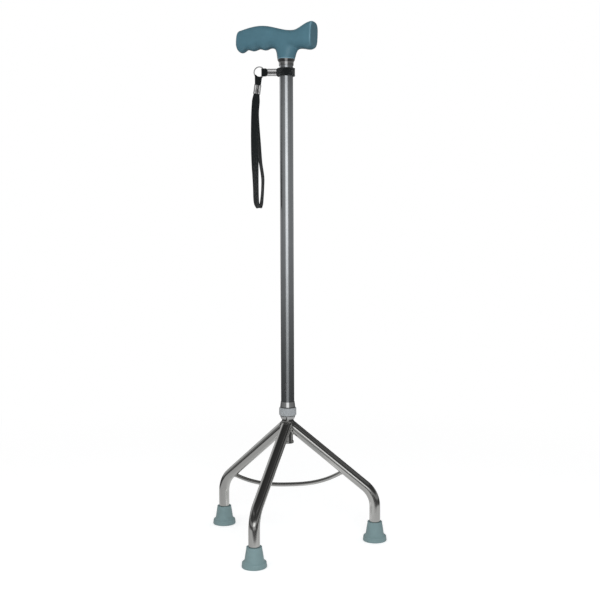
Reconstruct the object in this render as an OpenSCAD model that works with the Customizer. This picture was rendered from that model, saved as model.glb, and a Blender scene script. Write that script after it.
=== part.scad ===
// Walking cane on a three-legged base, with a moulded grip, a twist lock for its height and a wrist strap.
// The origin is the middle of the footprint on the floor, +Z is up and the grip's nose points along +X.

/* [Overall] */
// Height from the floor to the top of the handle at the lowest setting
overall_h = 851; // [709:1:1021]
// How far the shaft can be raised on the centre post
height_travel = 100; // [40:5:125]

/* [Tubes] */
// Outer diameter of the shaft tube
shaft_d = 22; // [19:0.5:26.5]
// Wall of the shaft tube
shaft_wall = 1.2; // [1:0.1:1.8]
// Length of the centre post
post_len = 242; // [220:1:290]
// Wall of the centre post
post_wall = 1.2; // [1:0.1:2]
// Outer diameter of a leg tube
leg_d = 18; // [15:0.5:21.5]
// Wall of a leg tube
leg_wall = 1.5; // [1:0.1:2]

/* [Base] */
// Distance from the shaft's axis to the upright end of a leg
leg_reach = 145; // [121:1:174]
// Height of the corner where a leg's slope meets its upright end
leg_corner_h = 78.5; // [65.5:0.5:94]
// Slope of the upper part of a leg below the level, in degrees
leg_slope = 39.5; // [33:0.5:45]
// Radius of the bend in a leg, on its centre line
leg_bend_r = 45; // [37:1:54]
// Angle around the shaft from the front leg to each of the other two, in degrees
leg_spread = 107.5; // [100:0.5:130]
// Diameter of the brace rod
brace_d = 7; // [6:0.5:8.5]
// How far inside the upright end the rod meets the left leg
brace_left_in = 22; // [22:1:60]
// How far inside the upright end the rod meets the right leg
brace_right_in = 52; // [22:1:60]
// How far the rod hangs below the line between its ends
brace_sag = 21; // [10:1:35]

/* [Feet] */
// Height of a rubber foot
foot_h = 32; // [27:1:38]
// Rubber around the leg at the mouth of a foot
foot_mouth_t = 3.25; // [2.5:0.25:4]
// Rubber around the leg at the waist of a foot
foot_waist_t = 5.5; // [4.5:0.5:6.5]
// Rubber around the leg where a foot stands
foot_base_t = 10.75; // [8.75:0.25:13]
// Height of the upright edge around the sole
sole_edge_h = 8; // [6:0.5:10]
// Rubber between the floor and the washer in the foot
sole_t = 6.5; // [5:0.5:9]
// Thickness of the washer that the leg stands on
washer_t = 1.5; // [1:0.1:2.5]

/* [Lock] */
// How far the knurled nut stands out from the shaft
nut_out = 3.3; // [3:0.1:4]
// Height of the knurled nut
nut_h = 13; // [11:0.5:16]
// Number of ribs around the knurled nut
nut_ribs = 36; // [24:1:48]
// Height of the cone under the nut
cone_h = 6; // [5:0.5:8]
// Height of the bright ferrule above the nut
ferrule_h = 9.5; // [8:0.5:12]
// Diameter of the rivets that hold the ferrule's key
rivet_d = 2.6; // [2:0.2:3.2]

/* [Handle] */
// Height of the handle from its neck's lower end to its top
handle_h = 57; // [50:1:68]
// Length of the finger side of the grip from the shaft's axis
grip_back = 84.5; // [80:0.5:102]
// Length of the nose side of the grip from the shaft's axis
grip_nose = 48.5; // [40.5:0.5:58.5]
// Height of the grip's underside above the neck's lower end
grip_under = 18; // [15:1:22]
// Width of the grip under the palm
palm_w = 33; // [28:1:40]
// Width of the grip over the shaft
saddle_w = 30; // [28.5:0.5:36]
// Width of the grip's nose
nose_w = 37; // [31:1:45]
// Depth of the saddle over the shaft
saddle_drop = 11.5; // [8:0.5:14]
// Plastic around the shaft at the neck's lower end
neck_t = 3.25; // [2.5:0.25:4]
// How far the neck spreads towards the fingers as it rises
neck_spread = 5; // [4:0.5:6.5]
// How far the neck spreads towards the nose as it rises
nose_spread = 11; // [8:0.5:13]
// Depth of the socket for the shaft
socket_depth = 28; // [23:1:33]
// Distance between finger grooves
finger_pitch = 21; // [18:0.5:22]
// Depth of the finger grooves
finger_depth = 2.4; // [1:0.2:3]

/* [Wrist strap] */
// Width of the webbing
web_w = 12.7; // [10.5:0.1:13]
// Thickness of the webbing
web_t = 1.6; // [1.2:0.1:2]
// Radius of the ring's round side, on the wire's centre line
ring_r = 8.8; // [8.6:0.1:10.6]
// Diameter of the ring's wire
wire_d = 1.6; // [1.3:0.1:1.9]
// Distance from the shaft's axis to the centre of the ring
ring_out = 43.4; // [41:0.1:52]
// Length of a crimp
crimp_len = 15; // [12.5:0.5:15.5]
// Direction in which the strap leaves the shaft, in degrees
strap_turn = 200; // [180:1:240]

/* [Hidden] */
// Running gap between pieces that move on each other
run_gap = 0.3;
// Gap between pieces that are fixed to each other
fit_gap = 0.05;
// Length by which a cut passes the face it opens
past = 1;
$fn = 64;

// Tubes
shaft_r = shaft_d / 2;
shaft_bore_r = shaft_r - shaft_wall;
post_r = shaft_bore_r - run_gap;
post_bore_r = post_r - post_wall;
leg_r = leg_d / 2;
leg_bore_r = leg_r - leg_wall;
// Steps by which the pieces of the lock stand out from the shaft or from the post
nut_r = shaft_r + nut_out;
thread_out = 0.8;
thread_r = shaft_r + thread_out;
lock_bore_r = post_r + run_gap;
collet_t = 1.1;
collet_r = lock_bore_r + collet_t;
collet_lip = 0.7;

// Base
hub_h = leg_corner_h + leg_reach * tan(leg_slope);
front_turn = 270;
left_turn = front_turn - leg_spread;
right_turn = front_turn + leg_spread;
half_front = leg_spread / 2;
half_back = 180 - leg_spread;
bend_turn = 90 - leg_slope;
bend_reach = leg_bend_r * tan(bend_turn / 2);
slope_len = leg_reach / cos(leg_slope) - bend_reach;
// The wall of a bend is a little thicker than the straight tubes, which run a short way into it
bend_swell = 0.05;
bend_wall_swell = 0.25;
bend_lap = 0.5;
leg_end_h = sole_t + washer_t + fit_gap;
root_top = hub_h - post_r * tan(leg_slope) + leg_r / cos(leg_slope);
root_bottom = hub_h - post_r * tan(leg_slope) - leg_r / cos(leg_slope);
post_foot = root_bottom - past;
post_top = post_foot + post_len;
axis_y = leg_reach * (1 - sin(right_turn - 360)) / 2;

// Lock
nut_clear = 2.8;
cone_z = root_top + nut_clear;
nut_z = cone_z + cone_h;
ferrule_gap = 0.5;
ferrule_z = nut_z + nut_h + ferrule_gap;
spigot_h = 10;
spigot_z = ferrule_z - spigot_h;
shaft_seat = 3.5;
shaft_z = ferrule_z - shaft_seat;
// Recess in the nut's lower end that takes the cone's rim
nut_wall = 1.6;
recess_h = 2.5;
recess_r = nut_r - nut_wall;
// Height of the collet's nose above the cone's lower end
nose_h = 3.2;
rivet_rise = 20.5;
rivet_low_z = ferrule_z + ferrule_h + rivet_rise;
rivet_pitch = 11.5;

// Handle
handle_z = overall_h - handle_h;
shaft_top = handle_z + socket_depth;
neck_r = shaft_r + neck_t;
trim_h = 10;
trim_z = handle_z - trim_h;

// Wrist strap
collar_drop = 10.7;
collar_z = trim_z - collar_drop;
collar_r = shaft_r + run_gap;
collar_t = 3.3;
tab_t = 4;
// Width of the webbing where a crimp gathers it
crimp_gather = 2.7;
held_w = web_w - crimp_gather;
tab_fill = 0.9;
wrist_tab_t = 2 * web_t + tab_fill;
fold_wall = 1.2;
wire_r = wire_d / 2;
fold_bore = wire_r + run_gap;
fold_r = fold_bore + fold_wall;
ring_chord = 5;
ring_half = sqrt(ring_r * ring_r - ring_chord * ring_chord);
ring_bend = atan(ring_half / ring_chord);
bar_out = ring_out - ring_chord;
crimp_wall = 0.7;
crimp_gap = 1;
crimp_out = collar_r + collar_t + crimp_gap;
wrist_tilt = 8;
wrist_crimp_drop = 20;
fold_from = -18;
fold_to = 48;

// Route of the wrist loop from the ring's centre: outward, sideways, up, the turn of its width in degrees,
// and how far it has spread from the width of the crimp to its own, from 0 to 1
WRIST_ROUTE = [
    [3.8, 1.2, -27, 0, 0], [5, 1.2, -35, 0, 0], [6.2, 3.2, -47, -3, 1], [7.4, 5, -66, -8, 1],
    [8.1, 6, -92, -12, 1], [8.2, 7, -118, -15, 1], [7.9, 7, -145, -24, 1], [7.3, 6.4, -169, -38, 1],
    [6.9, 6, -187, -44, 1], [6.6, 5.2, -203, -45, 1], [5.6, 3.6, -213.5, -49, 1], [2.2, -0.6, -218.6, -56, 1],
    [-0.9, -4.6, -213.5, -63, 1], [-2.5, -6.4, -203, -68, 1], [-3.6, -7.2, -187, -70, 1], [-3.8, -8, -169, -68, 1],
    [-0.4, -9, -145, -58, 1], [3, -9, -118, -42, 1], [6.2, -8, -92, -25, 1], [7.8, -6, -66, -10, 1],
    [6.3, -3.2, -47, -3, 1], [5, -1.2, -35, 0, 0], [3.8, -1.2, -27, 0, 0]
];
ROUTE_STEPS = 4;

// Height between key points [place, height], with a smooth rise from each to the next
function ease(t) = (1 - cos(180 * t)) / 2;
function key_index(keys, s) = max([for (k = [0 : len(keys) - 2]) if (k == 0 || s >= keys[k][0]) k]);
function between(a, b, s) = a[1] + (b[1] - a[1]) * ease((s - a[0]) / (b[0] - a[0]));
function follow(keys, s) = let (k = key_index(keys, s)) between(keys[k], keys[k + 1], s);

// Closed skin over rings of points, with a flat cap on each end
module skin(rings) {
    sides = len(rings[0]);
    last = len(rings) - 1;
    walls = [
        for (r = [0 : last - 1], i = [0 : sides - 1])
            let (j = (i + 1) % sides, a = r * sides, b = a + sides)
                each [[a + i, b + j, a + j], [a + i, b + i, b + j]]
    ];
    low_cap = [for (i = [1 : sides - 2]) [0, i, i + 1]];
    high_cap = [for (i = [1 : sides - 2]) [last * sides, last * sides + i + 1, last * sides + i]];
    polyhedron([for (ring = rings) each ring], concat(walls, low_cap, high_cap), convexity = 8);
}

// Turns a piece so that +Z runs from the shaft's axis down the slope of a leg and +X faces its underside
module down_leg() {
    translate([0, 0, hub_h])
        rotate([0, 90 + leg_slope, 0])
            children();
}

module leg_outline(outer_swell = 0, inner_swell = 0) {
    difference() {
        circle(r = leg_r + outer_swell);
        circle(r = leg_bore_r - inner_swell);
    }
}

// Half space beyond the plane halfway to a neighbouring leg
module neighbour_cut(half_turn) {
    side = half_turn > 0 ? 1 : -1;
    size = 4 * leg_d;
    rotate([0, 0, half_turn])
        translate([-size / 2, side > 0 ? -fit_gap / 2 : fit_gap / 2 - size, hub_h - size / 2])
            cube(size);
}

// Leg that runs outward along +X: a slope fitted to the post and to its neighbours, a bend and an upright end
module leg(turn, half_right, half_left) {
    color("gainsboro")
    rotate([0, 0, turn])
        down_leg() {
            difference() {
                linear_extrude(slope_len + bend_lap)
                    leg_outline();
                rotate([0, -90 - leg_slope, 0])
                    translate([0, 0, -hub_h]) {
                        translate([0, 0, post_foot - leg_d])
                            cylinder(h = root_top - post_foot + 2 * leg_d, r = post_r + fit_gap);
                        neighbour_cut(half_left);
                        neighbour_cut(-half_right);
                    }
            }
            translate([leg_bend_r, 0, slope_len])
                rotate([90, 0, 180])
                    rotate_extrude(angle = bend_turn)
                        translate([leg_bend_r, 0])
                            leg_outline(bend_swell, bend_wall_swell);
            translate([leg_bend_r, 0, slope_len])
                rotate([0, bend_turn, 0])
                    translate([-leg_bend_r, 0, -bend_lap])
                        linear_extrude(leg_corner_h - bend_reach - leg_end_h + bend_lap)
                            leg_outline();
        }
}

module leg_front() { leg(front_turn, half_front, half_front); }
module leg_left() { leg(left_turn, half_back, half_front); }
module leg_right() { leg(right_turn, half_front, half_back); }

// Centre post with the key slot that guides the shaft and stops it at both ends of its travel
module center_post() {
    slot_low = rivet_low_z - rivet_d / 2 - run_gap;
    slot_high = rivet_low_z + rivet_pitch + height_travel + rivet_d / 2 + run_gap;
    slot_w = rivet_d + 2 * run_gap;
    color("gainsboro")
    difference() {
        translate([0, 0, post_foot])
            cylinder(h = post_len, r = post_r);
        translate([0, 0, post_foot - past])
            cylinder(h = post_len + 2 * past, r = post_bore_r);
        translate([-slot_w / 2, -post_r - past, slot_low])
            cube([slot_w, post_r, slot_high - slot_low]);
    }
}

module post_end_plug() {
    stub_h = 14;
    flange_h = 4;
    flange_out = 0.25;
    waist_in = 1;
    waist_r = post_r - waist_in;
    flange_r = post_r + flange_out;
    spigot_r = post_bore_r - fit_gap;
    spigot_len = 12;
    edge = 1;
    color("silver")
    translate([0, 0, post_foot])
        rotate_extrude()
            polygon([
                [0, -stub_h], [flange_r - edge, -stub_h], [flange_r, -stub_h + edge],
                [flange_r, -stub_h + flange_h - edge / 2], [flange_r - edge / 2, -stub_h + flange_h],
                [waist_r, -stub_h + flange_h], [waist_r, 0],
                [spigot_r, 0], [spigot_r, spigot_len - edge], [spigot_r - edge, spigot_len], [0, spigot_len]
            ]);
}

// Nylon bush on the post's upper end, which keeps it from rattling in the shaft
module post_guide_bush() {
    collar_len = 6;
    spigot_len = 14;
    bush_gap = 0.2;
    bush_wall = 2.5;
    edge = 1;
    bush_r = shaft_bore_r - bush_gap;
    spigot_r = post_bore_r - fit_gap;
    bore_r = post_bore_r - bush_wall;
    color("white")
    translate([0, 0, post_top])
        rotate_extrude()
            polygon([
                [bore_r, -spigot_len], [spigot_r, -spigot_len], [spigot_r, 0], [bush_r, 0],
                [bush_r, collar_len - edge], [bush_r - edge, collar_len], [bore_r, collar_len]
            ]);
}

// Point on a leg's centre line above the floor, at a distance from the shaft's axis
function on_leg(turn, out) = [out * cos(turn), out * sin(turn), hub_h - out * tan(leg_slope)];

// Rod that hangs between the two rear legs in a curve that is flatter in the middle than an arc
module brace_rod() {
    steps = 16;
    sides = 20;
    flatness = 2.6;
    seat = [0, 0, -leg_r / 2];
    from = on_leg(left_turn, leg_reach - brace_left_in) + seat;
    to = on_leg(right_turn, leg_reach - brace_right_in) + seat;
    half = norm(to - from) / 2;
    along = unit(to - from);
    above = unit([0, 0, 1] - along * along[2]);
    across = cross(along, above);
    rings = [
        for (k = [-steps : steps])
            let (
                u = k / steps,
                fall = brace_sag * (1 - pow(abs(u), flatness)),
                climb = brace_sag * flatness * power(u, flatness - 1) / half,
                middle = (from + to) / 2 + along * half * u - above * fall,
                over = unit(above - along * climb)
            )
                [
                    for (i = [0 : sides - 1])
                        let (a = 360 * i / sides) middle + brace_d / 2 * (cos(a) * over + sin(a) * across)
                ]
    ];
    color("gainsboro")
    difference() {
        skin(rings);
        for (turn = [left_turn, right_turn])
            rotate([0, 0, turn])
                down_leg()
                    cylinder(h = slope_len + brace_d, r = leg_r + fit_gap);
    }
}

// Moves a piece to the upright end of a leg
module at_leg_end(turn) {
    rotate([0, 0, turn])
        translate([leg_reach, 0, 0])
            children();
}

// Rubber foot with a flared sole, ringed underneath, and a lip around its mouth
module foot() {
    edge = 1.5;
    edge_soft = 0.45;
    groove_shares = [0.4, 0.7];
    groove_w = 2;
    groove_depth = 1.2;
    mouth_lip = 2;
    waist_h = foot_h / 2;
    mouth_edge = 0.6;
    edge_lean = 0.8;
    base_r = leg_r + foot_base_t;
    waist_r = leg_r + foot_waist_t;
    mouth_r = leg_r + foot_mouth_t;
    socket_r = leg_r + fit_gap;
    flare_out = base_r - edge_lean - waist_r;
    flare_rise = waist_h - sole_edge_h;
    flare = [
        for (a = [0 : 15 : 90])
            [waist_r + flare_out * (1 - sin(a)), sole_edge_h + flare_rise * (1 - cos(a))]
    ];
    color("cadetblue")
    difference() {
        rotate_extrude()
            polygon(concat(
                [[0, 0], [base_r - edge, 0], [base_r - edge_soft, edge_soft], [base_r, edge]],
                flare,
                [
                    [mouth_r, foot_h - mouth_lip], [mouth_r, foot_h - mouth_edge],
                    [mouth_r - mouth_edge, foot_h], [0, foot_h]
                ]
            ));
        translate([0, 0, sole_t])
            cylinder(h = foot_h, r = socket_r);
        for (share = groove_shares)
            translate([0, 0, -past])
                difference() {
                    cylinder(h = groove_depth + past, r = base_r * share + groove_w / 2);
                    cylinder(h = groove_depth + past, r = base_r * share - groove_w / 2);
                }
    }
}

module foot_front() { at_leg_end(front_turn) foot(); }
module foot_left() { at_leg_end(left_turn) foot(); }
module foot_right() { at_leg_end(right_turn) foot(); }

module foot_washer() {
    hole_r = 3.5;
    color("silver")
    translate([0, 0, sole_t])
        difference() {
            cylinder(h = washer_t, r = leg_r);
            translate([0, 0, -past])
                cylinder(h = washer_t + 2 * past, r = hole_r);
        }
}

module foot_washer_front() { at_leg_end(front_turn) foot_washer(); }
module foot_washer_left() { at_leg_end(left_turn) foot_washer(); }
module foot_washer_right() { at_leg_end(right_turn) foot_washer(); }

// Place of each key rivet on the front of the shaft
module at_rivets() {
    for (k = [0, 1])
        translate([0, 0, rivet_low_z + k * rivet_pitch])
            rotate([90, 0, 0])
                children();
}

module shaft_tube() {
    color("lightslategray")
    difference() {
        translate([0, 0, shaft_z])
            cylinder(h = shaft_top - shaft_z, r = shaft_r);
        translate([0, 0, shaft_z - past])
            cylinder(h = shaft_top - shaft_z + 2 * past, r = shaft_bore_r);
        at_rivets()
            cylinder(h = shaft_r + past, d = rivet_d + 2 * fit_gap);
    }
}

// Low domed rivets, whose tails run in the post's key slot
module key_rivets() {
    head_out = 0.65;
    head_r = rivet_d / 2 + head_out;
    head_h = 0.9;
    head_sink = 0.2;
    tail_in = post_wall - run_gap;
    dome_r = (head_r * head_r + head_h * head_h) / (2 * head_h);
    color("silver")
    at_rivets() {
        translate([0, 0, post_r - tail_in])
            cylinder(h = shaft_r - post_r + tail_in + head_h / 2, d = rivet_d);
        intersection() {
            translate([0, 0, shaft_r + head_h - dome_r])
                sphere(r = dome_r);
            translate([0, 0, shaft_r - head_sink])
                cylinder(h = head_h + past, r = head_r);
            difference() {
                translate([0, 0, shaft_r - past])
                    cylinder(h = 2 * past + head_h, r = 2 * head_r);
                rotate([90, 0, 0])
                    cylinder(h = 4 * head_r, r = shaft_r + fit_gap, center = true);
            }
        }
    }
}

// Ferrule on the shaft's lower end: a bright cone above the nut and the sleeve that the nut screws on
module lock_ferrule() {
    top_out = 0.45;
    skirt_out = 1.5;
    skirt_h = 1;
    top_r = shaft_r + top_out;
    skirt_r = shaft_r + skirt_out;
    color("gainsboro")
    difference() {
        rotate_extrude()
            polygon([
                [collet_r + fit_gap, spigot_z], [thread_r, spigot_z], [thread_r, ferrule_z],
                [skirt_r, ferrule_z], [skirt_r, ferrule_z + skirt_h], [top_r, ferrule_z + ferrule_h],
                [collet_r + fit_gap, ferrule_z + ferrule_h]
            ]);
        translate([0, 0, shaft_z - fit_gap])
            cylinder(h = ferrule_h + spigot_h, r = shaft_r + fit_gap);
    }
}

// Split nylon collet, which the nut's cone squeezes onto the post
module lock_collet() {
    nose_z = cone_z + nose_h;
    nose_t = 0.5;
    low_z = spigot_z - fit_gap;
    high_z = shaft_z - 2 * fit_gap;
    slot_w = 1.4;
    slot_rise = 3;
    slots = 4;
    color("ivory")
    difference() {
        rotate_extrude()
            polygon([
                [lock_bore_r, nose_z], [lock_bore_r + nose_t, nose_z], [collet_r + collet_lip, low_z],
                [collet_r, low_z], [collet_r, high_z], [lock_bore_r, high_z]
            ]);
        for (k = [0 : slots - 1])
            rotate([0, 0, 45 + 360 * k / slots])
                translate([0, -slot_w / 2, nose_z - past])
                    cube([nut_r, slot_w, spigot_z - nose_z + past + slot_rise]);
    }
}

// Outline of the knurled nut: straight ribs with flat tops
function knurl(r, depth) = [
    for (k = [0 : nut_ribs - 1], p = [[0, 0], [0.5, 0], [0.66, 1], [0.84, 1]])
        let (turn = 360 * (k + p[0]) / nut_ribs, rib_r = r - depth * p[1]) [rib_r * cos(turn), rib_r * sin(turn)]
];

module lock_nut() {
    rib_depth = 0.6;
    edge = 1;
    bore_r = thread_r + run_gap;
    color("darkgray")
    translate([0, 0, nut_z])
        difference() {
            intersection() {
                linear_extrude(nut_h)
                    polygon(knurl(nut_r, rib_depth));
                rotate_extrude()
                    polygon([
                        [0, 0], [nut_r - edge, 0], [nut_r, edge],
                        [nut_r, nut_h - edge], [nut_r - edge, nut_h], [0, nut_h]
                    ]);
            }
            translate([0, 0, -past])
                cylinder(h = nut_h + 2 * past, r = bore_r);
            translate([0, 0, -past])
                cylinder(h = recess_h + past, r = recess_r);
        }
}

// Bright cone pressed into the nut's lower end, with the seat that closes the collet
module nut_cone() {
    rim_r = recess_r - fit_gap;
    rim_top = cone_h + recess_h - fit_gap;
    shoulder = cone_h - fit_gap;
    skirt_h = 1;
    tip_t = 0.9;
    seat_low = nose_h - run_gap;
    seat_high = spigot_z - cone_z;
    seat_out = 0.8;
    seat_r = lock_bore_r + seat_out;
    color("gainsboro")
    translate([0, 0, cone_z])
        difference() {
            rotate_extrude()
                polygon([
                    [lock_bore_r, 0], [lock_bore_r + tip_t, 0], [recess_r, cone_h - skirt_h], [recess_r, shoulder],
                    [rim_r, shoulder], [rim_r, rim_top], [lock_bore_r, rim_top]
                ]);
            translate([0, 0, seat_low])
                cylinder(h = seat_high - seat_low, r1 = seat_r, r2 = collet_r + collet_lip + run_gap);
            translate([0, 0, seat_high - run_gap])
                cylinder(h = rim_top, r = thread_r + run_gap);
        }
}

// Grip: a loft along X, with a hump for the palm, a saddle over the shaft, a raised nose and finger grooves
GRIP_SIDES = 28;
back_square = 2.8;
saddle_square = 2.3;
nose_square = 3.2;
back_round = 4.5;
nose_round = 2.5;
back_lean = 1;
nose_lean = 0.8;
lean_run = 20;
groove_in = 26;
last_ridge = 1;
palm_at = 44;
saddle_at = 14;
nose_top_in = 0.8;
end_past = 4;
tail_past = 17;
tail_rise = 2.5;
palm_drop = 1;
heel_in = 7;
heel_rise = 4;
heel_drop = 3.2;
heel_w = 26;
nose_drop = 4.4;
nose_under_in = 8;
nose_rise = 3.5;
nose_slope = 0.3;
top_line = [
    [-grip_back - tail_past, handle_h - saddle_drop + tail_rise], [-palm_at, handle_h - palm_drop],
    [saddle_at, handle_h - saddle_drop], [grip_nose - nose_top_in, handle_h],
    [grip_nose + end_past, handle_h - nose_slope]
];
under_line = concat(
    [[-grip_back - end_past, grip_under + heel_rise], [-grip_back + heel_in, grip_under - heel_drop]],
    [
        for (k = [2 : -1 : 0])
            each [
                [-groove_in - finger_pitch * k, grip_under + finger_depth / 2],
                [-groove_in - finger_pitch * (k - 0.5), grip_under - (k > 0 ? finger_depth / 2 : last_ridge)]
            ]
    ],
    [
        [grip_nose / 2, grip_under - nose_drop / 2], [grip_nose - nose_under_in, grip_under - nose_drop],
        [grip_nose + end_past, grip_under - nose_drop + nose_rise]
    ]
);
half_width = [
    [-grip_back - end_past, heel_w / 2], [-palm_at, palm_w / 2], [-end_past, saddle_w / 2],
    [grip_nose - end_past, nose_w / 2], [grip_nose + end_past, nose_w / 2]
];
section = [
    [-grip_back - end_past, back_square], [0, saddle_square],
    [grip_nose - end_past, nose_square], [grip_nose + end_past, nose_square]
];

// Distance by which the section shrinks near a rounded end, and share of an end's lean at a distance from it
function end_inset(gap, r) = gap >= r ? 0 : r - sqrt(r * r - (r - gap) * (r - gap));
function end_lean(gap) = pow(max(1 - gap / lean_run, 0), 2);
function power(v, n) = sign(v) * pow(abs(v), n);
function grip_ring(s) =
    let (
        inset = end_inset(s + grip_back, back_round) + end_inset(grip_nose - s, nose_round),
        top = follow(top_line, s) - inset,
        under = follow(under_line, s) + inset,
        half = follow(half_width, s) - inset,
        square = follow(section, s),
        lean = back_lean * end_lean(s + grip_back) + nose_lean * end_lean(grip_nose - s)
    )
    [
        for (i = [0 : GRIP_SIDES - 1])
            let (a = 360 * i / GRIP_SIDES, rise = power(sin(a), 2 / square))
                [
                    s + lean * rise,
                    half * power(cos(a), 2 / square),
                    (top + under) / 2 + (top - under) / 2 * rise
                ]
    ];

module grip_loft() {
    steps = 36;
    back_end = [for (a = [0 : 18 : 72]) -grip_back + back_round * (1 - cos(a))];
    nose_end = [for (a = [72 : -18 : 0]) grip_nose - nose_round * (1 - cos(a))];
    run = grip_back + grip_nose - back_round - nose_round;
    middle = [for (k = [0 : steps]) -grip_back + back_round + run * k / steps];
    skin([for (s = concat(back_end, middle, nose_end)) grip_ring(s)]);
}

// Neck: round at the trim ring, leaning outward along the grip as it rises, with a fillet at its top
module neck_loft() {
    sides = 40;
    levels = 9;
    bury = 8;
    lean_share = 0.5;
    fillet_power = 5;
    skin([
        for (z = concat([for (k = [0 : levels]) grip_under * k / levels], [grip_under + bury]))
            let (
                rise = min(z / grip_under, 1),
                share = lean_share * rise + (1 - lean_share) * pow(rise, fillet_power)
            )
                [
                    for (i = [0 : sides - 1])
                        let (turn = 360 * i / sides, spread = cos(turn) > 0 ? nose_spread : neck_spread)
                            [(neck_r + spread * share) * cos(turn), neck_r * sin(turn), z]
                ]
    ]);
}

module handle() {
    color([0.31, 0.47, 0.52])
    translate([0, 0, handle_z])
        difference() {
            union() {
                grip_loft();
                neck_loft();
            }
            translate([0, 0, -past])
                cylinder(h = socket_depth + past + fit_gap, r = shaft_r + fit_gap);
        }
}

// Bright ring between the shaft and the handle's neck
module handle_trim_ring() {
    trim_out = 1;
    edge = 0.8;
    low_r = shaft_r + trim_out;
    color("gainsboro")
    translate([0, 0, trim_z])
        rotate_extrude()
            polygon([
                [shaft_r + fit_gap, 0], [low_r, 0], [low_r, trim_h / 2], [neck_r, trim_h - edge],
                [neck_r, trim_h - fit_gap], [shaft_r + fit_gap, trim_h - fit_gap]
            ]);
}

// Turns a piece so that +X leaves the shaft along the strap, at the strap's height
module along_strap() {
    translate([0, 0, collar_z])
        rotate([0, 0, strap_turn])
            children();
}

// Webbing collar around the shaft, drawn together into a folded tab that holds the ring's bar
module strap_collar() {
    root_in = 1;
    tab_root = collar_r + root_in;
    crimp_end = crimp_out + crimp_len;
    held = held_w / 2;
    full = web_w / 2;
    widen = 1.5;
    color([0.13, 0.14, 0.15])
    along_strap()
        difference() {
            union() {
                translate([0, 0, -full])
                    cylinder(h = web_w, r = collar_r + collar_t);
                rotate([90, 0, 0])
                    translate([0, 0, -tab_t / 2])
                        linear_extrude(tab_t)
                            polygon([
                                [tab_root, full], [crimp_out, held], [crimp_end, held],
                                [crimp_end + widen, full], [bar_out, full],
                                [bar_out, -full], [crimp_end + widen, -full],
                                [crimp_end, -held], [crimp_out, -held], [tab_root, -full]
                            ]);
                translate([bar_out, 0, -full])
                    cylinder(h = web_w, r = fold_r);
            }
            translate([0, 0, -web_w])
                cylinder(h = 2 * web_w, r = collar_r);
            translate([bar_out, 0, -web_w])
                cylinder(h = 2 * web_w, r = fold_bore);
        }
}

// Outline of a crimp across its length: a flat sleeve with a groove pressed along the middle of each face
module crimp_outline(inside_h, inside_t) {
    high = inside_h + 2 * crimp_wall;
    thick = inside_t + 2 * crimp_wall;
    corner = 1;
    groove_r = 0.9;
    difference() {
        union() {
            square([high - 2 * corner, thick], center = true);
            square([high, thick - 2 * corner], center = true);
            for (x = [-1, 1], y = [-1, 1])
                translate([x * (high / 2 - corner), y * (thick / 2 - corner)])
                    circle(r = corner);
        }
        square([inside_h, inside_t], center = true);
        for (y = [-1, 1])
            translate([0, y * (thick / 2 + groove_r / 2)])
                circle(r = groove_r);
    }
}

module collar_crimp() {
    color("silver")
    along_strap()
        translate([crimp_out, 0, 0])
            rotate([90, 0, 90])
                linear_extrude(crimp_len)
                    rotate(90)
                        crimp_outline(held_w + 2 * fit_gap, tab_t + 2 * fit_gap);
}

// Wire ring with a straight bar and a round side
module d_ring() {
    color("gainsboro")
    along_strap() {
        translate([bar_out, 0, -ring_half])
            cylinder(h = 2 * ring_half, r = wire_r);
        for (side = [-1, 1])
            translate([bar_out, 0, side * ring_half])
                sphere(r = wire_r);
        translate([ring_out, 0, 0])
            rotate([90, 0, 0])
                rotate([0, 0, ring_bend - 180])
                    rotate_extrude(angle = 360 - 2 * ring_bend)
                        translate([ring_r, 0])
                            circle(r = wire_r);
    }
}

// Centre of the ring's round side, about which the wrist strap swings
module at_ring() {
    along_strap()
        translate([ring_out, 0, 0])
            children();
}

// Turns a piece so that -Z runs along the tab and the crimp of the wrist strap
module down_wrist() {
    at_ring()
        rotate([0, -wrist_tilt, 0])
            children();
}

// Webbing tab folded over the ring and held in the wrist crimp
module ring_tab() {
    crimp_hold = 5;
    tab_low = -wrist_crimp_drop - crimp_hold;
    from = fold_from - wrist_tilt;
    to = fold_to - wrist_tilt;
    low_half = held_w / 2;
    shoulder = 1 - wrist_crimp_drop;
    color([0.13, 0.14, 0.15])
    down_wrist()
        difference() {
            union() {
                rotate([90, 0, 0])
                    rotate([0, 0, 270 + from])
                        rotate_extrude(angle = to - from)
                            translate([ring_r, 0])
                                circle(r = fold_r);
                rotate([90, 0, 0])
                    translate([0, 0, -wrist_tab_t / 2])
                        linear_extrude(wrist_tab_t)
                            polygon([
                                for (a = [from : 6 : to]) ring_r * [sin(a), -cos(a)],
                                [low_half, shoulder], [low_half, tab_low],
                                [-low_half, tab_low], [-low_half, shoulder]
                            ]);
            }
            rotate([90, 0, 0])
                rotate_extrude()
                    translate([ring_r, 0])
                        circle(r = fold_bore);
        }
}

module wrist_crimp() {
    color("silver")
    down_wrist()
        translate([0, 0, -wrist_crimp_drop - crimp_len])
            linear_extrude(crimp_len)
                crimp_outline(held_w + 2 * fit_gap, wrist_tab_t + 2 * fit_gap);
}

// Smooth curve through the route's points
function blend(a, b, c, d, t) =
    b + t / 2 * (c - a + t * (2 * a - 5 * b + 4 * c - d + t * (3 * (b - c) + d - a)));
function route_point(k) = WRIST_ROUTE[min(max(k, 0), len(WRIST_ROUTE) - 1)];
route_curve = [
    for (k = [0 : len(WRIST_ROUTE) - 2], j = [0 : ROUTE_STEPS - 1])
        blend(route_point(k - 1), route_point(k), route_point(k + 1), route_point(k + 2), j / ROUTE_STEPS),
    route_point(len(WRIST_ROUTE) - 1)
];
function place(k) = let (p = route_curve[min(max(k, 0), len(route_curve) - 1)]) [p[0], p[1], p[2]];
function unit(v) = v / norm(v);

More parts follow.
